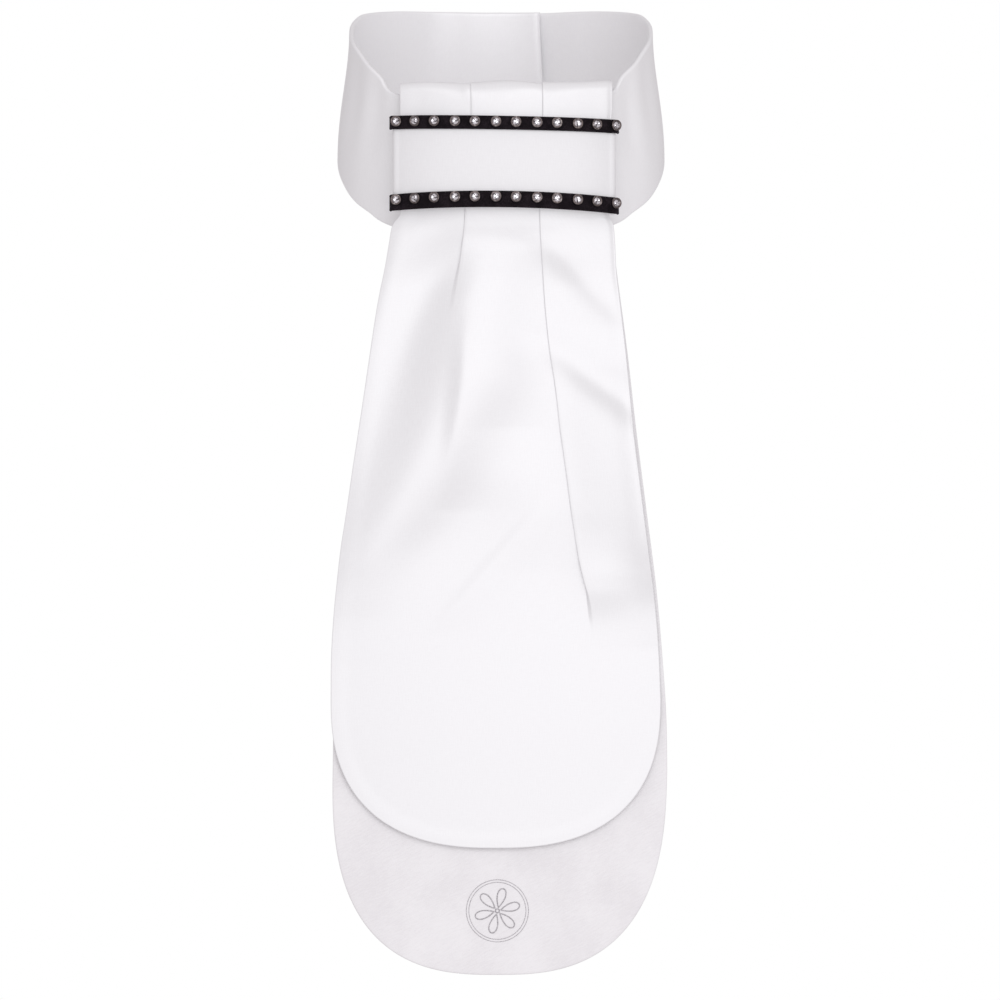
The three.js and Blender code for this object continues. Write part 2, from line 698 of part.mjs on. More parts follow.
function bandFrontY(x) {
  const room = BAND.pleatRoom * (1 - Math.abs(bandPlace(x)) ** BAND.pleatFlatness);
  return panelY(x, 0) - CLOTH - REST_GAP - Math.max(room, 0) - BAND.endRoom;
}

function bandRearY(x) {
  return panelY(x, 0) + 2 * (CLOTH + REST_GAP);
}

// The cross band's middle line in plan, moved outwards by shift, from the middle of the
// left end along the front to the middle of the right end, and back along the rear
function bandLoop(shift) {
  const points = [];
  const power = 2 / BAND.bendRoundness;
  const end = (side, from, to) => {
    const outerX = side > 0 ? BAND.right : BAND.left;
    const x = outerX - side * (CLOTH / 2 + BAND.bend);
    const middle = (bandFrontY(x) + bandRearY(x)) / 2;
    const half = (bandRearY(x) - bandFrontY(x)) / 2 + shift;
    for (let step = 0; step < BAND.bendSteps / 2; step += 1) {
      const turn = degToRad(lerp(from, to, step / (BAND.bendSteps / 2)));
      points.push(new THREE.Vector2(
        x + side * (BAND.bend + shift) * signedPower(Math.cos(turn), power),
        middle - half * signedPower(Math.sin(turn), power),
      ));
    }
  };
  const run = (from, to, faceY, outward) => {
    for (let step = 0; step < BAND.runSteps; step += 1) {
      const x = lerp(from, to, step / BAND.runSteps);
      points.push(new THREE.Vector2(x, faceY(x) + outward * shift));
    }
  };
  const leftStart = BAND.left + CLOTH / 2 + BAND.bend;
  const rightStart = BAND.right - CLOTH / 2 - BAND.bend;
  end(-1, 0, 90);
  run(leftStart, rightStart, bandFrontY, -1);
  end(1, 90, 0);
  end(1, 0, -90);
  run(rightStart, leftStart, bandRearY, 1);
  end(-1, -90, 0);
  return points;
}

function crossBand() {
  const loop = bandLoop(0);
  const grid = [];
  for (let row = 0; row <= BAND.rows; row += 1) {
    grid.push(loop.map(({ x, y }) => {
      const top = stripHeight(TOP_STRIP, x) + TOP_STRIP.width / 2;
      const bottom = stripHeight(BOTTOM_STRIP, x) - BOTTOM_STRIP.width / 2;
      return new THREE.Vector3(x, y, lerp(top, bottom, row / BAND.rows));
    }));
  }
  return wall(grid, CLOTH, true);
}

// The front half of the loop at a distance outside its middle line, in even steps
function stripPath(shift) {
  const half = bandLoop(shift).slice(0, BAND.bendSteps + BAND.runSteps + 1);
  const curve = new THREE.CatmullRomCurve3(half.map(({ x, y }) => new THREE.Vector3(x, y, 0)));
  curve.arcLengthDivisions = 600;
  return curve;
}

const stripShift = CLOTH / 2 + REST_GAP + VELVET / 2;
const stoneShift = stripShift + VELVET / 2 + REST_GAP;

function velvetStrip(strip) {
  const line = stripPath(stripShift).getSpacedPoints(STRIP_STEPS);
  const grid = [0.5, -0.5].map((edge) => line.map(({ x, y }) => (
    new THREE.Vector3(x, y, stripHeight(strip, x) + edge * strip.width)
  )));
  return wall(grid, VELVET);
}

// One solid: a cup with a rim, and the stone's faceted crown with its flat table
function stoneGeometry() {
  const profile = [
    [0, 0],
    [STONE.cupRadius, 0],
    [STONE.cupRadius, STONE.cupHeight],
    [STONE.rimRadius, STONE.rimHeight],
    [STONE.girdleRadius, STONE.girdleHeight],
    [STONE.tableRadius, STONE.tableHeight],
    [0, STONE.tableHeight],
  ].map(([radius, height]) => new THREE.Vector2(radius, height));
  return new THREE.LatheGeometry(profile, STONE.sides);
}

function stoneRow(strip, label) {
  const curve = stripPath(stoneShift);
  const length = curve.getLength();
  const geometry = stoneGeometry();
  const stones = [];
  for (let index = 0; index < STONE.count; index += 1) {
    const share = (STONE.firstInset + index * STONE.spacing) / length;
    const place = curve.getPointAt(share);
    const across = new THREE.Vector3().subVectors(
      curve.getPointAt(share + STONE.cupRadius / length),
      curve.getPointAt(share - STONE.cupRadius / length),
    );
    const outward = new THREE.Vector3(across.y, -across.x, 0).normalize();
    const stone = new THREE.Mesh(geometry, MATERIALS.stone);
    stone.name = `rhinestone_${label}_${String(index + 1).padStart(2, "0")}`;
    stone.position.set(place.x, place.y, stripHeight(strip, place.x) + strip.stoneRise);
    stone.quaternion.setFromUnitVectors(new THREE.Vector3(0, 1, 0), outward);
    stones.push(stone);
  }
  return stones;
}

function piece(name, geometry, material) {
  const mesh = new THREE.Mesh(geometry, material);
  mesh.name = name;
  return mesh;
}

const group = new THREE.Group();
group.add(piece("collar_band", collarBand(), MATERIALS.satin));
group.add(piece("neck_fastener", neckFastener(), MATERIALS.hookAndLoop));
group.add(piece("rear_tail", rearTail(), MATERIALS.matteBack));
group.add(piece("front_tail", frontTail(), MATERIALS.satin));
group.add(piece("cross_band", crossBand(), MATERIALS.satin));
group.add(piece(TOP_STRIP.name, velvetStrip(TOP_STRIP), MATERIALS.velvet));
group.add(piece(BOTTOM_STRIP.name, velvetStrip(BOTTOM_STRIP), MATERIALS.velvet));
group.add(...stoneRow(TOP_STRIP, "top"));
group.add(...stoneRow(BOTTOM_STRIP, "bottom"));

export default group;
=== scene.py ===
"""Looks of a ready-tied riding cravat.

A satin neck band, a pleated front tail over a longer rear tail, and a cross band that holds
them, edged with velvet strips and cut stones. Lengths are in millimetres until a mesh is made.
+X is the viewer's right, +Y runs from the throat to the nape and +Z is up. The origin is the
middle of the neck hollow.
"""

import logging
import math
from collections.abc import Mapping, Sequence
from dataclasses import dataclass
from enum import Enum

import bpy
import numpy as np
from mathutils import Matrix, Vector


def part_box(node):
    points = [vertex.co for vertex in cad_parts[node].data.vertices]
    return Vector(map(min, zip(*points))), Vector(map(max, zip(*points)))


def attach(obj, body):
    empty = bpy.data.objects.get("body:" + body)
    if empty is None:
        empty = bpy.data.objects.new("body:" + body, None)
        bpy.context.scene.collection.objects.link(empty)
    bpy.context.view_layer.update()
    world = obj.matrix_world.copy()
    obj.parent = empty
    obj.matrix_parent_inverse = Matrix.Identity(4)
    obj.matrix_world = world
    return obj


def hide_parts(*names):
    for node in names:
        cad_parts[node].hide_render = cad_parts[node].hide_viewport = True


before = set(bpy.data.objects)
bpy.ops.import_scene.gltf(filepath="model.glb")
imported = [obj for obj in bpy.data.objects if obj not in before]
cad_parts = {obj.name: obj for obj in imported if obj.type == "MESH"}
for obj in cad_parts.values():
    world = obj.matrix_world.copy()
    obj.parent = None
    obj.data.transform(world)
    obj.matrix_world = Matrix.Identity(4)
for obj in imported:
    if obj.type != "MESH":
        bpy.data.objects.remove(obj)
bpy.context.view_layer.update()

LOG = logging.getLogger("cravat")
MM = 0.001
BODY = "root"
CLOTH_MAP = "cloth_map"
OUTWARD = "outward"
# Painted reflection: the face attribute that holds each stone facet's painted glint.
PAINTED_GLINT = "tone"
STITCH_SEED = 7
SPIN_SEED = 3
FACET_SEED = 11

Triple = tuple[float, float, float]
Colour = Triple
Span = tuple[float, float]
Values = Mapping[int | str, object] | None
Grid = np.ndarray
Things = Sequence[bpy.types.Object]


class Slot(Enum):
    """The record's material slots."""

    SATIN = "satin"
    SATIN_BACK = "satin_back"
    VELVET = "velvet"
    HOOK_AND_LOOP = "hook_and_loop"
    CUT_STONE = "cut_stone"
    STONE_CUP = "stone_cup"
    SILVER_THREAD = "silver_thread"


class Held(Enum):
    """The ways in which a sheet of this cravat is held."""

    HUNG = "hung"
    FOLDED = "folded"


class Lay(Enum):
    """How a stitch lies to the path that it follows, in degrees."""

    ALONG = 0.0
    ACROSS = 78.0


def signed_power(value: Grid, exponent: float) -> Grid:
    """Raises the size of a value to a power and keeps its sign."""
    return np.sign(value) * np.abs(value) ** exponent


def smoothstep(at: Grid | float, low: float, high: float) -> Grid:
    """Rises smoothly from 0 at low to 1 at high."""
    t = np.clip((np.asarray(at, float) - low) / (high - low), 0.0, 1.0)
    return t * t * (3 - 2 * t)


def mix(low: object, high: object, share: object) -> object:
    """Goes from low to high by a share, for numbers, grids and wires."""
    return low + (high - low) * share


def edged_steps(length: Grid | float, count: int, offsets: Sequence[float]) -> Grid:
    """Lays places close together at both ends of a length, and even between them.

    Args:
        length: One length, or one for each column.
        count: How many even places lie between the edges' own.
        offsets: Rising distances from an edge, from 0.

    Returns:
        The places from 0 to length, along the first axis.
    """
    near = np.multiply.outer(np.asarray(offsets[:-1]), np.ones_like(length))
    even = np.linspace(offsets[-1] + 0 * length, length - offsets[-1], count)
    far = length - near[::-1]
    return np.concatenate([near, even, far])


def even_line(points: Grid, count: int, closed: bool = False) -> Grid:
    """Lays points evenly along a line.

    Args:
        points: The line's points.
        count: How many even points are wanted.
        closed: Whether the line comes back to its start.

    Returns:
        The even points.
    """
    line = np.concatenate([points, points[:1]]) if closed else points
    lengths = np.concatenate([[0.0], np.cumsum(np.linalg.norm(np.diff(line, axis=0), axis=1))])
    wanted = np.linspace(0, lengths[-1], count, endpoint=not closed)
    return np.stack([np.interp(wanted, lengths, line[:, k]) for k in range(line.shape[1])], axis=1)


def upright(line: Grid, heights: Grid) -> Grid:
    """Stands a line in plan up as a grid, with one row of it at each row of heights."""
    return np.concatenate([np.broadcast_to(line, (*heights.shape, 2)), heights[..., None]], axis=2)


def ring(radius: float, height: float, sides: int, offset: float = 0.0) -> list[Triple]:
    """Lays points round the vertical axis, the first turned by a share of a side."""
    turns = [2 * math.pi * (k + offset) / sides for k in range(sides)]
    return [(radius * math.cos(turn), radius * math.sin(turn), height) for turn in turns]


def turned(profile: Sequence[Span], sides: int, closed: bool) -> tuple[Grid, list[tuple[int, ...]]]:
    """Turns a profile round the vertical axis.

    Args:
        profile: Radius and height of each of its points.
        sides: How many points each ring has.
        closed: Whether the last ring meets the first.

    Returns:
        The points and the faces between the rings.
    """
    points = [point for radius, height in profile for point in ring(radius, height, sides)]
    faces = []
    for row in range(len(profile) if closed else len(profile) - 1):
        lower, upper = row * sides, (row + 1) % len(profile) * sides
        for k in range(sides):
            after = (k + 1) % sides
            faces.append((lower + k, lower + after, upper + after, upper + k))
    return np.array(points), faces


class Table:
    """Rows with named columns, the first of them the key, joined by a smooth curve."""

    def __init__(self, columns: str, *rows: tuple[float, ...]) -> None:
        """Sorts the rows by their key.

        Args:
            columns: The columns' names, parted by spaces.
            rows: One tuple of numbers for each row.
        """
        values = np.array(sorted(rows), float).T
        self.key = values[0]
        self.columns = dict(zip(columns.split()[1:], values[1:]))

    def at(self, column: str, place: Grid | float) -> Grid:
        """Reads a column by a smooth curve through its rows.

        Args:
            column: The column's name.
            place: Where on the key it is read.

        Returns:
            The column's value at each place.
        """
        values = self.columns[column]
        last = len(self.key) - 1
        place = np.clip(place, self.key[0], self.key[last])
        start = np.clip(np.searchsorted(self.key, place, side="right") - 1, 0, last - 1)
        before = np.maximum(np.arange(last + 1) - 1, 0)
        after = np.minimum(np.arange(last + 1) + 1, last)
        slopes = (values[after] - values[before]) / (self.key[after] - self.key[before])
        span = self.key[start + 1] - self.key[start]
        t = (place - self.key[start]) / span
        eased = mix(values[start], values[start + 1], t * t * (3 - 2 * t))
        leave = t * (1 - t) ** 2 * slopes[start]
        arrive = t * t * (t - 1) * slopes[start + 1]
        return eased + span * (leave + arrive)


class Wire:
    """A node's output, which ordinary arithmetic joins by Math nodes."""

    def __init__(self, tree: "Tree", socket: bpy.types.NodeSocket) -> None:
        """Keeps the tree and the socket."""
        self.tree = tree
        self.socket = socket

    def join(self, operation: str, first: object, second: object) -> "Wire":
        """Adds a Math node on two values, each a wire or a number."""
        return self.tree.wire("ShaderNodeMath", {"operation": operation}, {0: first, 1: second})

    def __add__(self, other: object) -> "Wire":
        """Adds."""
        return self.join("ADD", self, other)

    def __radd__(self, other: object) -> "Wire":
        """Adds to a number."""
        return self.join("ADD", other, self)

    def __sub__(self, other: object) -> "Wire":
        """Takes away."""
        return self.join("SUBTRACT", self, other)

    def __rsub__(self, other: object) -> "Wire":
        """Takes away from a number."""
        return self.join("SUBTRACT", other, self)

    def __mul__(self, other: object) -> "Wire":
        """Multiplies."""
        return self.join("MULTIPLY", self, other)

    def __rmul__(self, other: object) -> "Wire":
        """Multiplies a number."""
        return self.join("MULTIPLY", other, self)


class Tree:
    """Nodes added to one tree, each by its type, its settings and its sockets' values."""

    def __init__(self, tree: bpy.types.NodeTree) -> None:
        """Keeps the tree."""
        self.tree = tree

    @staticmethod
    def socket(sockets: bpy.types.bpy_prop_collection, key: int | str) -> bpy.types.NodeSocket:
        """Finds a socket by its index, its identifier or its name.

        Args:
            sockets: A node's inputs or outputs.
            key: What the socket is known by.

        Returns:
            The socket.
        """
        if isinstance(key, int):
            return sockets[key]
        return next((s for s in sockets if s.identifier == key), None) or sockets[key]

    def add(self, kind: str, settings: Values = None, inputs: Values = None) -> bpy.types.Node:
        """Adds a node.

        Args:
            kind: The node's type.
            settings: Its settings, which are set before its sockets.
            inputs: Values or links, by the socket's index, identifier or name.

        Returns:
            The node.
        """
        node = self.tree.nodes.new(kind)
        for name, value in (settings or {}).items():
            setattr(node, name, value)
        for key, value in (inputs or {}).items():
            target = self.socket(node.inputs, key)
            source = getattr(value, "socket", value)
            if isinstance(source, bpy.types.NodeSocket):
                self.tree.links.new(source, target)
            else:
                target.default_value = source
        return node

    def wire(
        self, kind: str, settings: Values = None, inputs: Values = None, output: int | str = 0
    ) -> Wire:
        """Adds a node and gives one of its outputs, by its index, identifier or name."""
        return Wire(self, self.socket(self.add(kind, settings, inputs).outputs, output))


class Paint(Tree):
    """The node tree of one material, with its main shader."""

    def __init__(self, name: str) -> None:
        """Makes an empty material.

        Args:
            name: The material's name.
        """
        self.material = bpy.data.materials.new(name)
        self.material.use_nodes = True
        super().__init__(self.material.node_tree)
        self.tree.nodes.clear()

    def cloth_place(self, across: float, down: float) -> Wire:
        """Scales the cloth's own map so that one unit is a pitch across it and one down it."""
        place = self.wire("ShaderNodeUVMap", {"uv_map": CLOTH_MAP}, {}, "UV")
        return self.scaled(place, (1 / (across * MM), 1 / (down * MM), 1.0))

    def object_place(self, pitch: float) -> Wire:
        """Scales the piece's own place so that one unit is a pitch."""
        place = self.wire("ShaderNodeTexCoord", {}, {}, "Object")
        return self.scaled(place, (1 / (pitch * MM),) * 3)

    def scaled(self, place: Wire, scale: Triple) -> Wire:
        """Multiplies a place by a scale for each axis."""
        return self.wire("ShaderNodeVectorMath", {"operation": "MULTIPLY"}, {0: place, 1: scale})

    def noise(self, place: Wire, detail: float = 2.0, roughness: float = 0.5) -> Wire:
        """Smooth noise of unit pitch at a place, about 0 to 1."""
        inputs = {"Vector": place, "Scale": 1.0, "Detail": detail, "Roughness": roughness}
        return self.wire("ShaderNodeTexNoise", {}, inputs)

    def ranged(self, value: Wire, low: float, high: float) -> Wire:
        """Stretches a value from low and high to 0 and 1, with smooth ends."""
        inputs = {"Value": value, "From Min": low, "From Max": high}
        return self.wire("ShaderNodeMapRange", {"interpolation_type": "SMOOTHSTEP"}, inputs)

    def blend(self, share: Wire, first: Colour, second: Colour) -> Wire:
        """Mixes two colours."""
        inputs = {"Factor_Float": share, "A_Color": (*first, 1.0), "B_Color": (*second, 1.0)}
        return self.wire("ShaderNodeMix", {"data_type": "RGBA"}, inputs, "Result_Color")

    def bump(self, height: Wire, distance: float) -> Wire:
        """Turns a height into a bump, with its distance in millimetres."""
        inputs = {"Height": height, "Distance": distance * MM, "Strength": 1.0}
        return self.wire("ShaderNodeBump", {}, inputs)

    def shader(self, **inputs: object) -> bpy.types.Material:
        """Adds the main shader.

        Args:
            inputs: Its sockets' values or links, with their names' spaces as underscores.

        Returns:
            The finished material.
        """
        named = {key.replace("_", " "): value for key, value in inputs.items()}
        shader = self.add("ShaderNodeBsdfPrincipled", {}, named)
        self.add("ShaderNodeOutputMaterial", {}, {"Surface": shader.outputs["BSDF"]})
        return self.material


@dataclass(frozen=True)
class Grained:
    """A finish whose tone, roughness and relief follow a fine grain."""

    name: str
    colour: Colour
    shade: Colour
    tones: Span
    roughness: Span
    relief: float

    def dress(
        self, paint: Paint, tone: Wire, gloss: Wire, height: Wire, **more: object
    ) -> bpy.types.Material:
        """Lets the main shader follow the grain.

        Args:
            paint: The material's tree.
            tone: What leads from the shade to the colour.
            gloss: What leads from the first roughness to the second.
            height: What stands proud.
            more: Values of the main shader's other sockets.

        Returns:
            The finished material.
        """
        return paint.shader(
            Base_Color=paint.blend(paint.ranged(tone, *self.tones), self.shade, self.colour),
            Roughness=mix(*self.roughness, gloss),
            Normal=paint.bump(height, self.relief),
            **more,
        )


@dataclass(frozen=True)
class Satin(Grained):
    """White satin: fine lengthways floats, a soft sheen and faint tone."""

    name: str = "white_satin"
    colour: Colour = (0.83, 0.828, 0.838)
    shade: Colour = (0.80, 0.794, 0.805)
    tones: Span = (0.3, 0.7)
    roughness: Span = (0.30, 0.42)
    relief: float = 0.03
    gloss: float = 1.0
    refraction: float = 1.7
    float_pitch: float = 0.3
    float_length: float = 4.0
    float_share: float = 0.65
    pick_pitch: float = 0.4

    def make(self) -> bpy.types.Material:
        """Builds the material.

        Returns:
            The finished material.
        """
        paint = Paint(self.name)
        floats = paint.noise(paint.cloth_place(self.float_pitch, self.float_length), detail=3.0)
        picks = paint.noise(paint.cloth_place(self.float_length, self.pick_pitch))
        weave = mix(picks, floats, self.float_share)
        shine = {"Specular_IOR_Level": self.gloss, "IOR": self.refraction}
        return self.dress(paint, weave, floats, weave, **shine)


@dataclass(frozen=True)
class MatteBack(Grained):
    """The satin's matte side, with its fine slanted twill."""

    name: str = "matte_back"
    colour: Colour = (0.885, 0.872, 0.882)
    shade: Colour = (0.805, 0.786, 0.80)
    tones: Span = (0.34, 0.64)
    roughness: Span = (0.72, 0.84)
    relief: float = 0.07
    slant_degrees: float = 28.0
    rib_pitch: float = 0.62
    rib_length: float = 3.2
    rib_share: float = 0.6
    grain_pitch: float = 0.5
    cloud_size: Span = (20.0, 24.0)
    cloud_share: float = 0.45

    def make(self) -> bpy.types.Material:
        """Builds the material.

        Returns:
            The finished material.
        """
        paint = Paint(self.name)
        ribs = paint.noise(self.slanted(paint), detail=3.0, roughness=0.6)
        grain = paint.noise(paint.cloth_place(self.grain_pitch, self.grain_pitch))
        cloud = paint.noise(paint.cloth_place(*self.cloud_size), detail=3.0)
        weave = mix(grain, ribs, self.rib_share)
        tone = mix(weave, cloud, self.cloud_share)
        nap = {"Specular_IOR_Level": 0.3, "Sheen_Weight": 0.2, "Sheen_Roughness": 0.5}
        return self.dress(paint, tone, grain, weave, **nap)

    def slanted(self, paint: Paint) -> Wire:
        """Turns the cloth's map to the twill's slant and draws it out along the ribs.

        Args:
            paint: The material's tree.

        Returns:
            The place.
        """
        inputs = {"Vector": paint.cloth_place(1.0, 1.0), "Angle": math.radians(self.slant_degrees)}
        slant = paint.wire("ShaderNodeVectorRotate", {"rotation_type": "Z_AXIS"}, inputs)
        return paint.scaled(slant, (1 / self.rib_length, 1 / self.rib_pitch, 1.0))


@dataclass(frozen=True)
class Velvet(Grained):
    """Black velvet ribbon with a short pile."""

    name: str = "black_velvet"
    colour: Colour = (0.026, 0.019, 0.024)
    shade: Colour = (0.006, 0.004, 0.0055)
    tones: Span = (0.42, 0.72)
    roughness: Span = (0.86, 0.98)
    relief: float = 0.22
    sheen_tint: Colour = (0.30, 0.27, 0.32)
    pile_pitch: float = 0.45
    pile_share: float = 0.6
    stroke_pitch: float = 4.0

    def make(self) -> bpy.types.Material:
        """Builds the material.

        Returns:
            The finished material.
        """
        paint = Paint(self.name)
        pile = paint.noise(paint.object_place(self.pile_pitch), detail=3.0, roughness=0.65)
        strokes = paint.noise(paint.object_place(self.stroke_pitch))
        tone = mix(strokes, pile, self.pile_share)
        nap = {"Specular_IOR_Level": 0.12, "Sheen_Weight": 0.15, "Sheen_Roughness": 0.4}
        return self.dress(paint, tone, strokes, pile, Sheen_Tint=(*self.sheen_tint, 1.0), **nap)


@dataclass(frozen=True)
class HookAndLoop(Grained):
    """White hook-and-loop tape, a dense mat of tiny loops."""

    name: str = "hook_and_loop_tape"
    colour: Colour = (0.80, 0.79, 0.81)
    shade: Colour = (0.55, 0.54, 0.56)
    tones: Span = (0.35, 0.65)
    roughness: Span = (0.8, 0.95)
    relief: float = 0.4
    loop_pitch: float = 0.8

    def make(self) -> bpy.types.Material:
        """Builds the material.

        Returns:
            The finished material.
        """
        paint = Paint(self.name)
        loops = paint.noise(paint.object_place(self.loop_pitch), detail=4.0, roughness=0.7)
        return self.dress(paint, loops, loops, loops, Specular_IOR_Level=0.25)


@dataclass(frozen=True)
class SilverThread(Grained):
    """Silver-grey embroidery thread with a fine ply."""

    name: str = "silver_thread"
    colour: Colour = (0.60, 0.58, 0.60)
    shade: Colour = (0.34, 0.32, 0.34)
    tones: Span = (0.35, 0.65)
    roughness: Span = (0.38, 0.53)
    relief: float = 0.05
    ply_pitch: float = 0.35

    def make(self) -> bpy.types.Material:
        """Builds the material.

        Returns:
            The finished material.
        """
        paint = Paint(self.name)
        ply = paint.noise(paint.object_place(self.ply_pitch))
        return self.dress(paint, ply, ply, ply, Sheen_Weight=0.2)


@dataclass(frozen=True)
class StoneCup(Grained):
    """The dark silver cup that holds a stone, rubbed bright here and there."""

    name: str = "dark_silver_cup"
    colour: Colour = (0.42, 0.38, 0.37)
    shade: Colour = (0.12, 0.098, 0.095)
    tones: Span = (0.5, 0.8)
    roughness: Span = (0.30, 0.18)
    relief: float = 0.03
    wear_pitch: float = 0.9

    def make(self) -> bpy.types.Material:
        """Builds the material.

        Returns:
            The finished material.
        """
        paint = Paint(self.name)
        wear = paint.noise(paint.object_place(self.wear_pitch))
        return self.dress(paint, wear, paint.ranged(wear, *self.tones), wear, Metallic=1.0)


@dataclass(frozen=True)
class CutStone:
    """Clear foiled glass with painted reflections: each facet is given a fixed painted glint tone,
    from dark to bright.
    """

    name: str = "cut_stone_glass"
    dark: Colour = (0.05, 0.04, 0.045)
    bright: Colour = (0.80, 0.77, 0.80)
    metallic: Span = (0.55, 0.90)
    roughness: Span = (0.13, 0.05)

    def make(self) -> bpy.types.Material:
        """Builds the material.

        Returns:
            The finished material.
        """
        paint = Paint(self.name)
        # Painted reflection: each facet's stored tone sets how bright its glint is painted.
        tone = paint.wire("ShaderNodeAttribute", {"attribute_name": PAINTED_GLINT}, {}, "Fac")
        return paint.shader(
            Base_Color=paint.blend(tone, self.dark, self.bright),
            Metallic=mix(*self.metallic, tone),
            Roughness=mix(*self.roughness, tone),
            Coat_Weight=1.0,
            Coat_Roughness=0.02,
            Specular_IOR_Level=0.8,
        )


class Growth(Tree):
    """A geometry node tree with named inputs, which sets copies along a path or on points."""

    def __init__(self, name: str, kinds: Mapping[str, str]) -> None:
        """Makes a tree that takes and gives a mesh.

        Args:
            name: The tree's name.
            kinds: The kind of each further input, beside Smooth and Material.
        """
        super().__init__(bpy.data.node_groups.new(name, "GeometryNodeTree"))
        ways = self.tree.interface
        kinds = {"Geometry": "Geometry", **kinds, "Smooth": "Bool", "Material": "Material"}
        for entry, kind in kinds.items():
            ways.new_socket(entry, in_out="INPUT", socket_type=f"NodeSocket{kind}")
        ways.new_socket("Geometry", in_out="OUTPUT", socket_type="NodeSocketGeometry")
        self.start = self.add("NodeGroupInput")

    def input(self, name: str) -> Wire:
        """Gives the tree's named input."""
        return Wire(self, self.start.outputs[name])

    def random(self, low: object, high: object, seed: int) -> Wire:
        """Draws a number between two for each copy."""
        inputs = {"Min_001": low, "Max_001": high, "Seed": seed}
        return self.wire("FunctionNodeRandomValue", {"data_type": "FLOAT"}, inputs, "Value_001")

    def facing(self, axis: str, way: Wire) -> Wire:
        """Gives the turn that points an axis along a direction."""
        return self.wire("FunctionNodeAlignRotationToVector", {"axis": axis}, {"Vector": way})

    def end(self, **copies: Wire) -> None:
        """Sets the copies, realizes them, gives them their material and ends the tree.

        Args:
            copies: What the copies' points, instance, rotation and scale are.
        """
        laid = self.wire("GeometryNodeInstanceOnPoints", {}, copies)
        real = self.wire("GeometryNodeRealizeInstances", {}, {"Geometry": laid})
        shade = {"Geometry": real, "Shade Smooth": self.input("Smooth")}
        smooth = self.wire("GeometryNodeSetShadeSmooth", {}, shade)
        dress = {"Geometry": smooth, "Material": self.input("Material")}
        dressed = self.wire("GeometryNodeSetMaterial", {}, dress)
        self.add("NodeGroupOutput", {}, {"Geometry": dressed})

    def grow(self, carrier: bpy.types.Object, values: Mapping[str, object]) -> bpy.types.Object:
        """Runs the tree on a carrier and keeps the result as a plain mesh.

        Args:
            carrier: The object whose mesh is the path or the points.
            values: The tree's inputs by name.

        Returns:
            The carrier, with its new mesh and no modifier.
        """
        modifier = carrier.modifiers.new("growth", "NODES")
        modifier.node_group = self.tree
        for item in self.tree.interface.items_tree:
            if item.in_out == "INPUT" and item.name in values:
                modifier[item.identifier] = values[item.name]
        bpy.context.view_layer.update()
        seen = carrier.evaluated_get(bpy.context.evaluated_depsgraph_get())
        mesh = bpy.data.meshes.new_from_object(seen)
        carrier.modifiers.clear()
        carrier.data = mesh
        mesh.name = carrier.name
        return carrier


def stitching_tree() -> Growth:
    """Builds the tree that lays stitches along a path.

    Returns:
        A tree with the inputs Pitch, Length, Thread, Lay and Scatter.
    """
    numbers = ("Pitch", "Length", "Thread", "Lay", "Scatter")
    growth = Growth("stitches_on_path", dict.fromkeys(numbers, "Float"))
    pitch, length, thread, lay, scatter = (growth.input(name) for name in numbers)
    path = growth.wire("GeometryNodeMeshToCurve", {}, {"Mesh": growth.input("Geometry")})
    places = growth.wire(
        "GeometryNodeResampleCurve", {"mode": "LENGTH"}, {"Curve": path, "Length": pitch}
    )
    tangent = growth.wire("GeometryNodeInputTangent")
    turning = {"Vector": tangent, "Axis": (0.0, -1.0, 0.0), "Angle": lay}
    way = growth.wire("ShaderNodeVectorRotate", {"rotation_type": "AXIS_ANGLE"}, turning)
    long = growth.random(1 - scatter, 1 + scatter, STITCH_SEED) * length
    size = growth.wire("ShaderNodeCombineXYZ", {}, {"X": long, "Y": thread, "Z": thread})
    ball = {"Segments": 8, "Rings": 6, "Radius": 0.5}
    strand = growth.wire("GeometryNodeMeshUVSphere", {}, ball)
    growth.end(Points=places, Instance=strand, Rotation=growth.facing("X", way), Scale=size)
    return growth


def setting_tree() -> Growth:
    """Builds the tree that sets a copy of an object on each point, facing outwards.

    Returns:
        A tree with the inputs Piece and Spin.
    """
    growth = Growth("pieces_on_points", {"Piece": "Object", "Spin": "Float"})
    piece = growth.wire("GeometryNodeObjectInfo", {}, {"Object": growth.input("Piece")}, "Geometry")
    outward = growth.wire(
        "GeometryNodeInputNamedAttribute", {"data_type": "FLOAT_VECTOR"}, {"Name": OUTWARD}
    )
    turn = growth.random(0.0, growth.input("Spin"), SPIN_SEED)
    spin = growth.wire(
        "FunctionNodeAxisAngleToRotation", {}, {"Axis": (0.0, 0.0, 1.0), "Angle": turn}
    )
    turning = {"Rotation": growth.facing("Z", outward), "Rotate By": spin}
    spun = growth.wire("FunctionNodeRotateRotation", {"rotation_space": "LOCAL"}, turning)
    growth.end(Points=growth.input("Geometry"), Instance=piece, Rotation=spun)
    return growth


@dataclass(frozen=True)
class Finish:
    """A material with its slot in the record."""

    material: bpy.types.Material
    slot: Slot


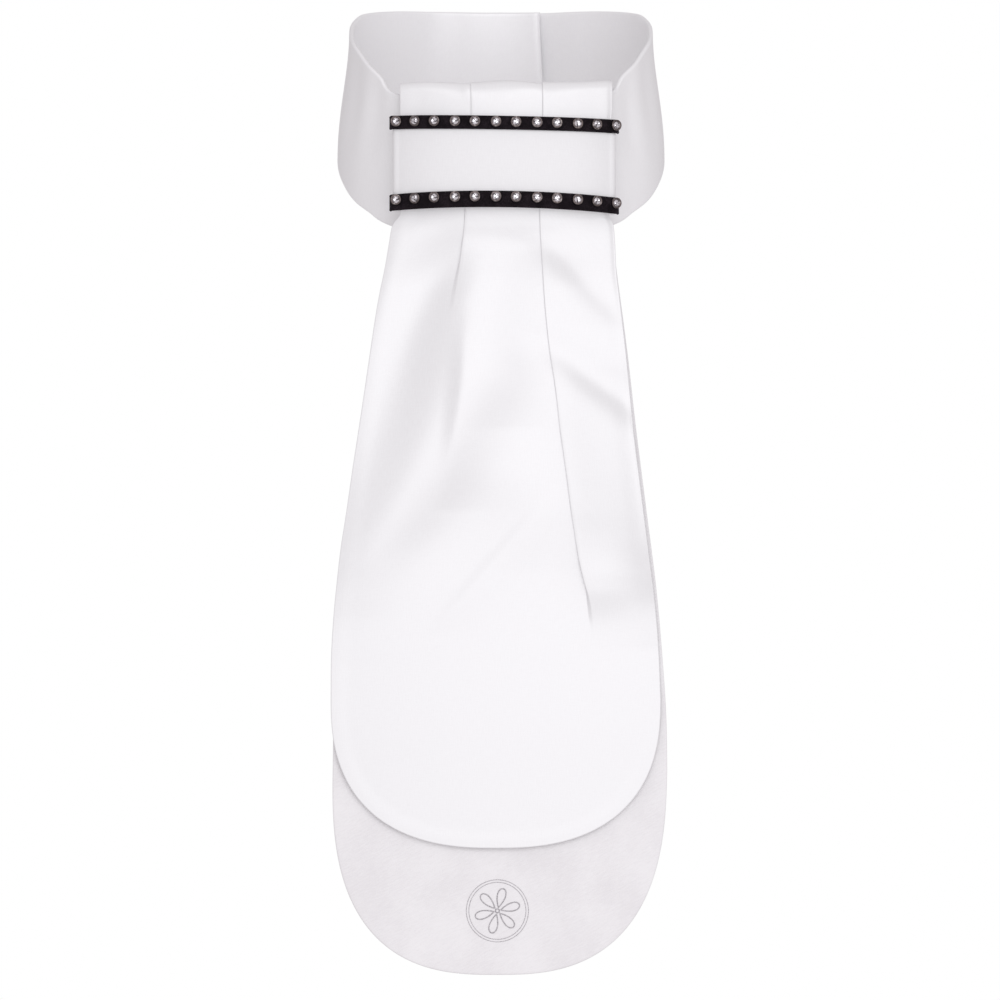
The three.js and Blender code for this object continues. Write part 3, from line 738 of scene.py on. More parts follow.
@dataclass
class Workshop:
    """What every sub-assembly shares: the finishes and the trees."""

    satin: Finish
    neck_satin: Finish
    cross_satin: Finish
    matte_back: Finish
    velvet: Finish
    tape: Finish
    stone: Finish
    cup: Finish
    silver_thread: Finish
    stitching: Growth
    setting: Growth

    @classmethod
    def opened(cls) -> "Workshop":
        """Makes every finish and tree once.

        Returns:
            The workshop.
        """
        # Painted light: the neck band is the same satin, given a lighter colour to offset the shade
        # that falls on it.
        neck_satin = Satin("neck_satin", (0.885, 0.883, 0.893), (0.855, 0.849, 0.86))
        cross_satin = Satin("cross_cut_satin", roughness=(0.42, 0.54), gloss=0.6)
        return cls(
            satin=Finish(Satin().make(), Slot.SATIN),
            neck_satin=Finish(neck_satin.make(), Slot.SATIN),
            cross_satin=Finish(cross_satin.make(), Slot.SATIN),
            matte_back=Finish(MatteBack().make(), Slot.SATIN_BACK),
            velvet=Finish(Velvet().make(), Slot.VELVET),
            tape=Finish(HookAndLoop().make(), Slot.HOOK_AND_LOOP),
            stone=Finish(CutStone().make(), Slot.CUT_STONE),
            cup=Finish(StoneCup().make(), Slot.STONE_CUP),
            silver_thread=Finish(SilverThread().make(), Slot.SILVER_THREAD),
            stitching=stitching_tree(),
            setting=setting_tree(),
        )


def new_object(
    name: str,
    vertices: Grid,
    faces: Sequence[Sequence[int]] = (),
    edges: Sequence[Sequence[int]] = (),
) -> bpy.types.Object:
    """Makes a mesh object at the origin.

    Args:
        name: The object's name.
        vertices: Points in millimetres.
        faces: Rings of vertex numbers, outwards.
        edges: Pairs of vertex numbers.

    Returns:
        The object, linked to the scene.
    """
    mesh = bpy.data.meshes.new(name)
    mesh.from_pydata((np.asarray(vertices) * MM).tolist(), list(edges), list(faces))
    thing = bpy.data.objects.new(name, mesh)
    bpy.context.scene.collection.objects.link(thing)
    return thing


def finish_piece(thing: bpy.types.Object, finish: Finish, nodes: Sequence[str]) -> bpy.types.Object:
    """Dresses a piece, ties it to the frame and reports it.

    Args:
        thing: The piece.
        finish: Its finish.
        nodes: The nodes of the frame that it stands for.

    Returns:
        The piece.
    """
    thing.data.materials.clear()
    thing.data.materials.append(finish.material)
    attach(thing, BODY)
    if nodes:
        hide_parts(*nodes)
    LOG.info("%s: %d faces, %s", thing.name, len(thing.data.polygons), finish.material.name)
    return thing


def flat_map(grid: Grid) -> Grid:
    """Lays a grid flat: lengths across each row from its middle, and down the middle column.

    Args:
        grid: Points by row and column, in millimetres.

    Returns:
        Each point's place across and down.
    """
    steps = np.linalg.norm(np.diff(grid, axis=1), axis=2)
    across = np.concatenate([np.zeros((len(grid), 1)), np.cumsum(steps, axis=1)], axis=1)
    across -= across[:, -1:] / 2
    middle = grid[:, grid.shape[1] // 2]
    down = np.concatenate([[0.0], np.cumsum(np.linalg.norm(np.diff(middle, axis=0), axis=1))])
    return np.stack([across, np.repeat(down[:, None], grid.shape[1], axis=1)], axis=2)


def cloth_piece(
    name: str, grid: Grid, thickness: Grid, finish: Finish, node: str, loop: bool = False
) -> bpy.types.Object:
    """Makes and dresses a closed wall of cloth round a grid of points on its middle surface.

    Args:
        name: The piece's name.
        grid: Points by row and column, in millimetres.
        thickness: The wall's thickness at each point.
        finish: Its finish.
        node: The node of the frame that it stands for.
        loop: Whether the last column meets the first.

    Returns:
        The smooth-shaded piece with its cloth map.
    """
    rows, columns = grid.shape[:2]
    if loop:
        across = np.roll(grid, -1, axis=1) - np.roll(grid, 1, axis=1)
    else:
        across = np.gradient(grid, axis=1)
    normal = np.cross(across, np.gradient(grid, axis=0))
    normal /= np.linalg.norm(normal, axis=2, keepdims=True)
    half = normal * (thickness[..., None] / 2)
    index = np.arange(rows * columns).reshape(rows, columns)
    if loop:
        index = np.hstack([index, index[:, :1]])
    other = index + rows * columns
    corners = [
        (index[:-1, :-1], index[:-1, 1:], index[1:, 1:], index[1:, :-1]),
        (other[:-1, :-1], other[1:, :-1], other[1:, 1:], other[:-1, 1:]),
        (index[0, :-1], other[0, :-1], other[0, 1:], index[0, 1:]),
        (index[-1, :-1], index[-1, 1:], other[-1, 1:], other[-1, :-1]),
    ]
    if not loop:
        corners.append((index[:-1, 0], index[1:, 0], other[1:, 0], other[:-1, 0]))
        corners.append((index[:-1, -1], other[:-1, -1], other[1:, -1], index[1:, -1]))
    quads = np.concatenate([np.stack(four, axis=-1).reshape(-1, 4) for four in corners])
    vertices = np.concatenate([grid + half, grid - half]).reshape(-1, 3)
    thing = new_object(name, vertices, quads.tolist())
    mesh = thing.data
    mesh.polygons.foreach_set("use_smooth", np.ones(len(mesh.polygons), bool))
    numbers = np.empty(len(mesh.loops), np.int32)
    mesh.loops.foreach_get("vertex_index", numbers)
    flat = flat_map(grid).reshape(-1, 2) * MM
    uv = mesh.uv_layers.new(name=CLOTH_MAP)
    uv.data.foreach_set("uv", flat[numbers % (rows * columns)].astype(np.float32).ravel())
    return finish_piece(thing, finish, [node])


@dataclass(frozen=True)
class TurnedEdge:
    """The rounded edge of cloth that was sewn, turned and pressed."""

    offsets: tuple[float, ...] = (0.0, 0.07, 0.18, 0.34, 0.55, 0.85, 1.4)
    least: float = 0.16

    def thickness(self, wall: Grid | float, distance: Grid) -> Grid:
        """Rounds a wall's thickness off towards its edge.

        Args:
            wall: The full thickness.
            distance: How far each point lies from the edge.

        Returns:
            The thickness at each point.
        """
        reach = 1 - np.clip(distance / (wall / 2), 0.0, 1.0)
        return wall * np.maximum(np.sqrt(1 - reach**2), self.least)


EDGE = TurnedEdge()


@dataclass(frozen=True)
class NeckShape:
    """The neck band's outer face, which the tails lie on.

    A dent holds its angle, its height, how far it spreads in each, and its depth.
    """

    half_width_top: float = 60.6
    half_width_bottom: float = 65.6
    front_depth: float = 52.4
    back_depth: float = 60.0
    front_roundness: float = 3.0
    back_roundness: float = 2.0
    lean: float = math.tan(math.radians(12))
    widest_share: float = 0.99
    wall: float = 1.8
    rounds: int = 4
    edges: Table = Table(
        "angle top bottom",
        (0, -9.5, -60),
        (15, -9.0, -59.4),
        (28, -6.8, -57.6),
        (36, -4.8, -55.3),
        (40.5, -2.6, -53.4),
        (44.5, 1.6, -51.2),
        (57.5, 8.4, -45.6),
        (73, 16, -37),
        (80, 19.0, -33),
        (85, 21.3, -29.8),
        (88, 23.0, -27.2),
        (90, 25, -24.2),
        (95, 27.0, -21.2),
        (100, 28.9, -18.2),
        (112, 32.8, -11.6),
        (140, 36.4, -1),
        (180, 37.2, 3),
    )
    dents: tuple[tuple[float, ...], ...] = (
        (-46, -12, 7, 13, 1.4),
        (-65, -6, 9, 20, 1.2),
        (48, -14, 6, 15, 1.5),
        (67, -4, 9, 20, 1.1),
    )

    def edge(self, angle: Grid, column: str) -> Grid:
        """Gives the height of an edge at angles from the throat, in degrees."""
        away = np.abs(angle)
        return self.edges.at(column, np.where(away > 180, 360 - away, away))

    def dent(self, angle: Grid, height: Grid) -> Grid:
        """Gives the depth of the soft dents beside the panel.

        Args:
            angle: Degrees from the throat, positive to the viewer's right.
            height: The height.

        Returns:
            The depth at each place.
        """
        depth = np.zeros(np.broadcast(angle, height).shape)
        for place, middle, angle_spread, height_spread, most in self.dents:
            across = (angle - place) / angle_spread
            up = (height - middle) / height_spread
            depth += most * np.exp(-(across**2) - up**2)
        return depth

    def point(self, angle: Grid, share: Grid, shift: Grid) -> Grid:
        """Places points on the outer face.

        Args:
            angle: Degrees from the throat, positive to the viewer's right.
            share: Share of the band's height, from its lower edge.
            shift: Distance outwards from the outer face.

        Returns:
            The points, along a new last axis.
        """
        phi = np.radians(angle)
        front = np.cos(phi) > 0
        power = 2 / np.where(front, self.front_roundness, self.back_roundness)
        half_width = mix(self.half_width_bottom, self.half_width_top, smoothstep(share, 0, 1))
        depth = np.where(front, self.front_depth, self.back_depth)
        top, bottom = self.edge(angle, "top"), self.edge(angle, "bottom")
        z = mix(bottom, top, share)
        x = half_width * signed_power(np.sin(phi), power)
        y = -depth * signed_power(np.cos(phi), power) - self.lean * (z - (top + bottom) / 2)
        out_x = signed_power(np.sin(phi), 2 - power) / half_width
        out_y = -signed_power(np.cos(phi), 2 - power) / depth
        size = np.hypot(out_x, out_y)
        return np.stack([x + shift * out_x / size, y + shift * out_y / size, z], axis=-1)

    def inner_y(self, x: Grid, z: Grid) -> Grid:
        """Gives the inner face behind the panel.

        Args:
            x: The places across.
            z: Their heights.

        Returns:
            The face's place from throat to nape.
        """
        power = self.front_roundness
        half_width = np.full(np.broadcast(x, z).shape, self.half_width_top)
        for _ in range(self.rounds):
            place = np.minimum(np.abs(x) / half_width, self.widest_share)
            angle = np.degrees(np.arcsin(place ** (power / 2)))
            top, bottom = self.edge(angle, "top"), self.edge(angle, "bottom")
            share = smoothstep((z - bottom) / (top - bottom), 0, 1)
            half_width = mix(self.half_width_bottom, self.half_width_top, share)
        place = np.minimum(np.abs(x) / half_width, self.widest_share)
        reach = (1 - place**power) ** (1 / power)
        slope = (self.front_depth / half_width) * (place / reach) ** (power - 1)
        inwards = (self.wall + self.dent(np.sign(x) * angle, z)) * np.hypot(1, slope)
        return -self.front_depth * reach - self.lean * (z - (top + bottom) / 2) + inwards


@dataclass(frozen=True)
class PanelPlan:
    """The middle surface of the front tail's lowest layer."""

    front: float = -61.45
    radius: float = 170.0
    fade: float = 0.8
    fade_from: float = 50.0
    fade_to: float = 190.0
    fall: float = 4.5
    fall_from: float = 50.0
    fall_to: float = 82.0

    def y(self, x: Grid, z: Grid | float) -> Grid:
        """Gives the surface's place from throat to nape.

        Args:
            x: The places across.
            z: Their heights.

        Returns:
            The surface's place at each of them.
        """
        below = -np.asarray(z, float)
        curve = 1 - self.fade * smoothstep(below, self.fade_from, self.fade_to)
        fall = self.fall * smoothstep(below, self.fall_from, self.fall_to)
        return self.front + curve * x**2 / (2 * self.radius) + fall


@dataclass(frozen=True)
class RoundEnd:
    """A tail's rounded end, a superellipse below its widest row."""

    widest: float
    length: float
    roundness: float
    left: float
    right: float
    drift: float = 0.0
    last_degrees: float = 89.4

    def outline(self, edges: Table, first: float, pitch: float, steps: int) -> list[Triple]:
        """Gives every row of a tail, from its top to its tip.

        Args:
            edges: The left and right edge by height, above the end.
            first: The first row's height.
            pitch: The distance between rows above the end.
            steps: How many rows the end has.

        Returns:
            Each row's height, left edge and right edge.
        """
        heights = [*np.arange(first, self.widest, -pitch).tolist(), self.widest]
        found = [(z, float(edges.at("left", z)), float(edges.at("right", z))) for z in heights]
        for turn in np.radians(np.linspace(0, self.last_degrees, steps + 1)[1:]):
            half = (self.right - self.left) / 2 * math.cos(turn) ** (2 / self.roundness)
            share = math.sin(turn) ** (2 / self.roundness)
            middle = (self.left + self.right) / 2 + self.drift * share
            found.append((self.widest - self.length * share, middle - half, middle + half))
        return found

    def distance(self, x: Grid, z: float) -> Grid:
        """Gives about how far points lie inside the rounded outline.

        Args:
            x: The places across.
            z: Their height.

        Returns:
            The distance at each place.
        """
        half = (self.right - self.left) / 2
        down = (self.widest - z) / self.length
        across = np.abs(x - (self.left + self.right) / 2 - self.drift * down) / half
        level = across**self.roundness + down**self.roundness
        slope = self.roundness * np.hypot(
            across ** (self.roundness - 1) / half, down ** (self.roundness - 1) / self.length
        )
        return np.maximum(1 - level, 0) / np.maximum(slope, 1 / half)

    def inside(self, x: Grid, z: float, left: float, right: float) -> Grid:
        """Gives how far the points of a row lie inside the tail's outline."""
        return np.minimum(x - left, right - x) if z >= self.widest else self.distance(x, z)


@dataclass(frozen=True)
class Pleat:
    """One row's knife pleat: two arcs and the return between them."""

    turn: float
    run: float
    radius: float
    drop: float
    hidden: float
    start: float
    end: float


def fold(*rows: tuple[float, ...], flanks: tuple[float, ...] = ()) -> Table:
    """Tabulates a fold's crest and height, and how far each flank spreads, by row or for all."""
    return Table("z crest height left right", *((*row, *flanks) for row in rows))


def fold_rise(table: Table, x: Grid, z: float) -> Grid:
    """Gives how far a soft fold lifts the cloth.

    Args:
        table: The fold.
        x: The places across.
        z: The row's height.

    Returns:
        The lift at each place.
    """
    if not table.key[0] < z < table.key[-1]:
        return np.zeros_like(x)
    across = x - table.at("crest", z)
    spread = np.where(across < 0, table.at("left", z), table.at("right", z))
    return table.at("height", z) * np.exp(-((across / spread) ** 2))


@dataclass
class FrontTail:
    """The pleated front tail, with its roll over the neck band and the flap inside."""

    shop: Workshop
    neck: NeckShape
    panel: PanelPlan
    name: str = "front_tail_cloth"
    wall: float = 0.3
    hem: float = 0.6
    hem_reach: Span = (2.0, 8.0)
    pitch: float = 0.36
    least_return: float = 0.8
    least_turn: float = 0.01
    ramps: Span = (34.0, 26.0)
    full_below: float = 0.6
    arc_steps: int = 7
    return_steps: int = 9
    panel_steps: tuple[int, int, int] = (26, 36, 32)
    first_row: float = -12.0
    row_pitch: float = 1.5
    end_steps: int = 44
    roll_roundness: float = 2.3
    roll_steps: int = 14
    flap_length: float = 21.0
    flap_steps: int = 10
    flap_gap: float = 1.2
    flap_taper: float = 0.1
    flat: Span = (130.0, 328.0)
    top_line: Table = Table(
        "x height pressed rise",
        (-39.3, -1.7, 0, 4),
        (-30, -1.2, 0, 4),
        (-22, -1.5, 0, 5.5),
        (-15.5, -1.8, 0, 7.5),
        (-13.4, -1.9, 0.05, 4.5),
        (-10.4, -1.7, 0.85, 6),
        (-6.5, -1.3, 0.95, 7),
        (2, -0.8, 0.95, 7.5),
        (8.5, -1.1, 0.85, 5),
        (14.8, -1.8, 0.65, 4),
        (17.8, -1.4, 1.4, 6),
        (22, -1.2, 1.35, 6),
        (29, -1.2, 1.05, 4),
        (36.5, -1.0, 0.4, 4),
        (43.3, -0.7, 0, 4),
    )
    edges: Table = Table(
        "z left right",
        (0, -39.3, 43.3),
        (-14, -39.3, 43.2),
        (-22, -39.0, 41.6),
        (-46, -39.0, 41.6),
        (-53, -39.4, 42.0),
        (-57, -42.2, 43.7),
        (-63, -43.4, 44.3),
        (-69, -44.4, 44.6),
        (-75, -45.5, 44.9),
        (-83, -47.2, 45.8),
        (-92, -48.8, 46.9),
        (-106, -50.9, 48.5),
        (-121, -53.1, 49.9),
        (-137, -55.5, 51.4),
        (-152, -57.8, 53.2),
        (-168, -60.1, 55.2),
        (-183, -62.4, 57.1),
        (-195, -63.8, 58.7),
        (-208, -65.1, 60.3),
        (-224, -66.1, 61.5),
        (-241.6, -66.3, 62.2),
    )
    left_pleat: Table = Table(
        "z fold under turn",
        (0, -11.6, 11, 180),
        (-14, -11.6, 11, 180),
        (-22, -12.4, 11, 180),
        (-46, -13.6, 11, 180),
        (-53, -14.0, 10.6, 180),
        (-57, -14.2, 7, 180),
        (-63, -14.8, 2.4, 172),
        (-69, -15.8, 0.9, 118),
        (-75, -17.0, 0.8, 62),
        (-83, -18.4, 0.8, 24),
        (-92, -19.8, 0.8, 0),
        (-106, -22.0, 0.8, 0),
        (-121, -23.5, 0.8, 0),
        (-137, -24.5, 0.8, 0),
        (-152, -25, 0.8, 0),
        (-241.6, -25, 0.8, 0),
    )
    right_pleat: Table = Table(
        "z fold under turn",
        (0, 16.3, 11, 180),
        (-14, 16.3, 11, 180),
        (-22, 15.8, 11, 180),
        (-46, 15.2, 11, 180),
        (-57, 15.2, 10.8, 180),
        (-69, 15.9, 10.3, 180),
        (-83, 16.8, 9.6, 180),
        (-92, 17.5, 9.2, 180),
        (-106, 19.0, 8.5, 180),
        (-121, 21.3, 7.7, 180),
        (-137, 23.1, 6.7, 180),
        (-152, 25.2, 5.6, 180),
        (-168, 27.3, 4.4, 180),
        (-180, 29.1, 3.0, 180),
        (-189, 30.7, 1.8, 162),
        (-196, 32.2, 0.9, 118),
        (-202, 33.6, 0.8, 62),
        (-210, 34.8, 0.8, 14),
        (-218, 35.6, 0.8, 0),
        (-241.6, 36.4, 0.8, 0),
    )
    end: RoundEnd = RoundEnd(widest=-241.6, length=57.8, roundness=2.5, left=-66.3, right=62.2)
    folds: tuple[Table, ...] = (
        fold(
            (-64, -3, 0, 11, 20),
            (-74, -6, 2.0, 13, 20),
            (-84, -10, 3.8, 15, 20),
            (-98, -15, 5.0, 17, 22),
            (-114, -19, 5.6, 19, 22),
            (-132, -23.5, 5.8, 21, 22),
            (-150, -31, 5.6, 21, 22),
            (-168, -40, 4.6, 19, 20),
            (-186, -50, 3.0, 17, 18),
            (-202, -56, 1.4, 16, 18),
            (-212, -59, 0.5, 16, 18),
            (-228, -63, 0, 16, 18),
        ),
        fold(
            (-88, -10, 0, 4.5, 22),
            (-102, -13, 0.9, 4.5, 22),
            (-118, -14.3, 1.6, 4.2, 22),
            (-133, -16, 1.7, 4.2, 22),
            (-150, -18.5, 1.0, 4.6, 22),
            (-168, -22, 0, 5, 22),
        ),
        fold(
            (-54, -40, 0, 8, 14),
            (-62, -42, 2.4, 8, 14),
            (-75, -45, 4.2, 9, 14),
            (-90, -49, 4.8, 9, 14),
            (-105, -53, 4.6, 10, 14),
            (-125, -57, 3.6, 10, 14),
            (-150, -62, 2.2, 10, 14),
            (-172, -65, 0.8, 10, 14),
            (-195, -68, 0, 10, 14),
        ),
        fold(
            (-54, 46, 0, 24, 10),
            (-62, 48, 2.6, 23, 10),
            (-74, 51, 4.6, 21, 10),
            (-90, 56, 6.2, 22, 10),
            (-108, 61, 7.2, 24, 10),
            (-126, 65, 8.2, 26, 10),
            (-142, 67, 9.0, 26, 9),
            (-160, 68, 9.2, 26, 9),
            (-178, 69, 8.0, 24, 9),
            (-192, 70, 5.2, 21, 9),
            (-205, 71, 1.8, 19, 9),
            (-222, 72, 0, 19, 9),
        ),
        fold(
            (-60, 17, 0),
            (-69, 25, 1.1),
            (-78, 33, 1.4),
            (-88, 42, 1.1),
            (-98, 50, 0),
            flanks=(8, 16),
        ),
        fold(
            (-96, 14, 0),
            (-109, 28, 1.6),
            (-120, 41.5, 2.1),
            (-131, 55, 1.6),
            (-142, 67, 0),
            flanks=(10, 18),
        ),
        fold(
            (-112, 34, 0, 14, 20),
            (-122, 36, 0.5, 14, 20),
            (-136, 38, 1.0, 15, 20),
            (-152, 40, 1.2, 15, 20),
            (-170, 41, 1.2, 15, 20),
            (-186, 42, 1.1, 14, 20),
            (-198, 43, 0.8, 12, 20),
            (-208, 44, 0.3, 12, 20),
            (-222, 45, 0, 12, 20),
        ),
        fold(
            (-92, 2, 0),
            (-100, 2, 0.4),
            (-110, 2, 1.2),
            (-118, 2, 1.2),
            (-130, 3, 0.3),
            (-136, 3, 0),
            flanks=(15, 15),
        ),
        fold(
            (-136, 8, 0),
            (-146, 9, 0.6),
            (-158, 10, 1.0),
            (-176, 12, 0.5),
            (-192, 14, 0),
            flanks=(18, 18),
        ),
        fold(
            (-158, 22, 0),
            (-170, 13, 0.5),
            (-185, 0, 0.6),
            (-200, -13, 0.5),
            (-216, -26, 0),
            flanks=(3.5, 14),
        ),
    )
    stand_off: float = 1.4
    stand_off_rows: Span = (170.0, 260.0)

    def pleat(self, table: Table, z: float, squeeze: float, spread: float, shift: float) -> Pleat:
        """Works out one row's pleat, as a place from the viewer's right to the left.

        Args:
            table: The pleat's table.
            z: The row's height.
            squeeze: The share to which a narrow row shrinks its pleats.
            spread: The row's share of the widest row, below it.
            shift: How far the row's middle lies from the widest row's, below it.

        Returns:
            The pleat.
        """
        turn = math.radians(max(float(table.at("turn", z)), self.least_turn))
        run = max(float(table.at("under", z)), self.least_return) * squeeze
        crease = -(shift + spread * float(table.at("fold", z)))
        radius = math.pi * self.pitch / 2 * squeeze / turn
        advance = 2 * radius * math.sin(turn) + run * math.cos(turn)
        drop = 2 * radius * (1 - math.cos(turn)) + run * math.sin(turn)
        middle = crease - (self.pitch / 2 + run / 2) * (turn / math.pi)
        hidden = middle - (run / 2 + self.pitch / 2) * (turn / math.pi)
        return Pleat(turn, run, radius, drop, hidden, middle - advance / 2, middle + advance / 2)

    def row(self, z: float, left: float, right: float) -> tuple[Grid, Grid]:
        """Lays one row of cloth across, each panel over the one to its left.

        Args:
            z: The row's height.
            left: Its left edge.
            right: Its right edge.

        Returns:
            The places across, and the levels above the lowest layer.
        """
        widest = self.end.right - self.end.left
        squeeze = min(1.0, (right - left) / (self.full_below * widest))
        spread, shift = 1.0, 0.0
        if z < self.end.widest:
            spread = (right - left) / widest
            shift = (left + right) / 2 - spread * (self.end.left + self.end.right) / 2
        pleats = [
            self.pleat(table, z, squeeze, spread, shift)
            for table in (self.right_pleat, self.left_pleat)
        ]
        offsets = np.array(EDGE.offsets) * squeeze
        inset = offsets[-1]
        first = np.linspace(inset - right, pleats[0].start, self.panel_steps[0])
        second = np.linspace(pleats[0].end, pleats[1].start, self.panel_steps[1])
        third = np.linspace(pleats[1].end, -left - inset, self.panel_steps[2])
        places, levels = [offsets[:-1] - right], [np.zeros(len(offsets) - 1)]
        for line, pleat, ramp in zip((first, second), pleats, self.ramps[::-1]):
            places.append(line[:-1])
            levels.append(pleat.drop * smoothstep(line[:-1], pleat.hidden - ramp, pleat.hidden))
            arc = pleat.turn * np.linspace(0, 1, self.arc_steps + 1)
            places.append(pleat.start + pleat.radius * np.sin(arc))
            levels.append(pleat.drop - pleat.radius * (1 - np.cos(arc)))
            deepest = pleat.end - pleat.radius * math.sin(pleat.turn)
            lowest = pleat.radius * (1 - math.cos(pleat.turn))
            places.append(np.linspace(places[-1][-1], deepest, self.return_steps + 1)[1:-1])
            levels.append(np.linspace(levels[-1][-1], lowest, self.return_steps + 1)[1:-1])
            back = arc[:0:-1]
            places.append(pleat.end - pleat.radius * np.sin(back))
            levels.append(pleat.radius * (1 - np.cos(back)))
        places += [third, -left - offsets[-2::-1]]
        levels += [np.zeros(len(third) + len(offsets) - 1)]
        place, level = np.concatenate(places), np.concatenate(levels)
        over = len(offsets) + len(first) - 1 + 2 * self.arc_steps + self.return_steps - 1
        carried = smoothstep(place, pleats[1].hidden - self.ramps[0], pleats[1].hidden)
        level[:over] += pleats[1].drop * carried[:over]
        return -place[::-1], level[::-1]

    def rolled(self, x: Grid, level: Grid, turn: float, down: float) -> Grid:
        """Places a row at a turn round the roll, 0 at the front and half a turn inside.

        Args:
            x: The places across.
            level: The levels above the lowest layer.
            turn: How far round the roll the row lies, in radians.
            down: The length past the roll, down inside the neck band.

        Returns:
            The row's points.
        """
        rise = self.top_line.at("rise", x)
        pressed = 2 * self.pitch * self.top_line.at("pressed", x)
        start = self.top_line.at("height", x) - pressed - rise - self.wall / 2
        front = self.panel.y(x, start)
        inside = self.neck.inner_y(x, start) + self.flap_gap + self.wall / 2
        middle, half = (front + inside) / 2, (inside - front) / 2
        power = 2 / self.roll_roundness
        out_y = -signed_power(np.cos(turn), 2 - power) / half
        out_z = signed_power(np.sin(turn), 2 - power) / rise
        size = np.hypot(out_y, out_z)
        lean = down * self.neck.lean * smoothstep(turn, 0, math.pi)
        y = middle - half * signed_power(np.cos(turn), power) + lean + level * out_y / size
        z = start + rise * signed_power(np.sin(turn), power) - down + level * out_z / size
        return np.stack([x, y, z], axis=1)

    def surface(self, x: Grid, z: float, level: Grid) -> Grid:
        """Gives the hanging cloth's place from throat to nape.

        Args:
            x: The places across.
            z: Their height.
            level: Their levels above the lowest layer.

        Returns:
            The cloth's place at each of them.
        """
        lift = sum(fold_rise(table, x, z) for table in self.folds)
        hang = self.stand_off * smoothstep(-z, *self.stand_off_rows)
        return self.panel.y(x, z) - level - lift - hang

    def grid(self) -> tuple[Grid, Grid]:
        """Lays the whole tail, from the flap's end over the roll and down to the tip.

        Returns:
            The grid of points and each point's distance from the edge.
        """
        top_left, top_right = float(self.edges.at("left", 0)), float(self.edges.at("right", 0))
        x, level = self.row(0.0, top_left, top_right)
        edge = np.minimum(x - top_left, top_right - x)
        rows, distances = [], []
        for share in np.linspace(1, 0, self.flap_steps, endpoint=False):
            width = 1 - self.flap_taper * share
            down = self.flap_length * share
            rows.append(self.rolled(x * width, level, math.pi, down))
            distances.append(np.minimum(edge, self.flap_length - down))
        for turn in np.linspace(math.pi, 0, self.roll_steps + 1):
            rows.append(self.rolled(x, level, float(turn), 0.0))
            distances.append(edge)
        outline = self.end.outline(self.edges, self.first_row, self.row_pitch, self.end_steps)
        for z, left, right in outline:
            x, level = self.row(z, left, right)
            rows.append(np.stack([x, self.surface(x, z, level), np.full_like(x, z)], axis=1))
            distances.append(self.end.inside(x, z, left, right))
        return np.array(rows), np.array(distances)

    def build(self) -> bpy.types.Object:
        """Makes and dresses the tail.

        Returns:
            The tail.
        """
        grid, distances = self.grid()
        walls = mix(self.hem, self.wall, smoothstep(distances, *self.hem_reach))
        thickness = EDGE.thickness(walls, distances)
        return cloth_piece(self.name, grid, thickness, self.shop.satin, "front_tail")


@dataclass
class RearTail:
    """The longer rear tail, matte side out, with its turned hem."""

    shop: Workshop
    neck: NeckShape
    panel: PanelPlan
    name: str = "rear_tail_cloth"
    wall: float = 1.0
    cloth: float = 1.1
    gap: float = 0.3
    seat_from: float = -14.1
    seat_to: float = -10.3
    columns: int = 84
    row_pitch: float = 1.7
    end_steps: int = 52
    full_width: float = 40.0
    first_inset: float = 0.1
    hem_relief: float = 0.3
    hem_fade: Span = (6.2, 7.4)
    flat: Span = (130.0, 340.0)
    edges: Table = Table(
        "z left right",
        (-10.3, -36.0, 39.0),
        (-16, -38.0, 41.0),
        (-46, -38.0, 40.8),
        (-54, -38.2, 41.0),
        (-60, -40.8, 43.2),
        (-75, -43.5, 45.2),
        (-106, -49.0, 49.3),
        (-137, -53.8, 52.8),
        (-168, -58.3, 56.7),
        (-199, -62.0, 60.6),
        (-230, -64.3, 63.3),
        (-250, -65.3, 64.5),
        (-268.8, -65.6, 64.8),
    )
    end: RoundEnd = RoundEnd(
        widest=-268.8, length=80.1, roundness=2.7, left=-65.6, right=64.8, drift=-1.4
    )

    def surface(self, x: Grid, z: Grid | float) -> Grid:
        """Gives the cloth's middle surface, hanging behind the front tail or seated above.

        Args:
            x: The places across.
            z: Their heights.

        Returns:
            The surface's place from throat to nape.
        """
        hanging = self.panel.y(x, z) + self.cloth + self.gap
        seated = self.neck.inner_y(x, z) - self.neck.wall - self.gap - self.cloth / 2
        return mix(hanging, seated, smoothstep(z, self.seat_from, self.seat_to))

    def grid(self) -> tuple[Grid, Grid]:
        """Lays the tail from its seat to its tip.

        Returns:
            The grid of points and each point's distance from the edge.
        """
        rows, distances = [], []
        outline = self.end.outline(self.edges, self.seat_to, self.row_pitch, self.end_steps)
        for z, left, right in outline:
            offsets = np.array(EDGE.offsets) * min(1.0, (right - left) / self.full_width)
            x = left + edged_steps(right - left, self.columns, offsets)
            rows.append(np.stack([x, self.surface(x, z), np.full_like(x, z)], axis=1))
            below = self.seat_to + self.first_inset - z
            distances.append(np.minimum(self.end.inside(x, z, left, right), below))
        return np.array(rows), np.array(distances)

    def build(self) -> bpy.types.Object:
        """Makes and dresses the tail.

        Returns:
            The tail.
        """
        grid, distances = self.grid()
        hem = self.hem_relief * (1 - smoothstep(distances, *self.hem_fade))
        thickness = EDGE.thickness(self.wall, distances) + hem * np.clip(distances, 0, 1)
        return cloth_piece(self.name, grid, thickness, self.shop.matte_back, "rear_tail")


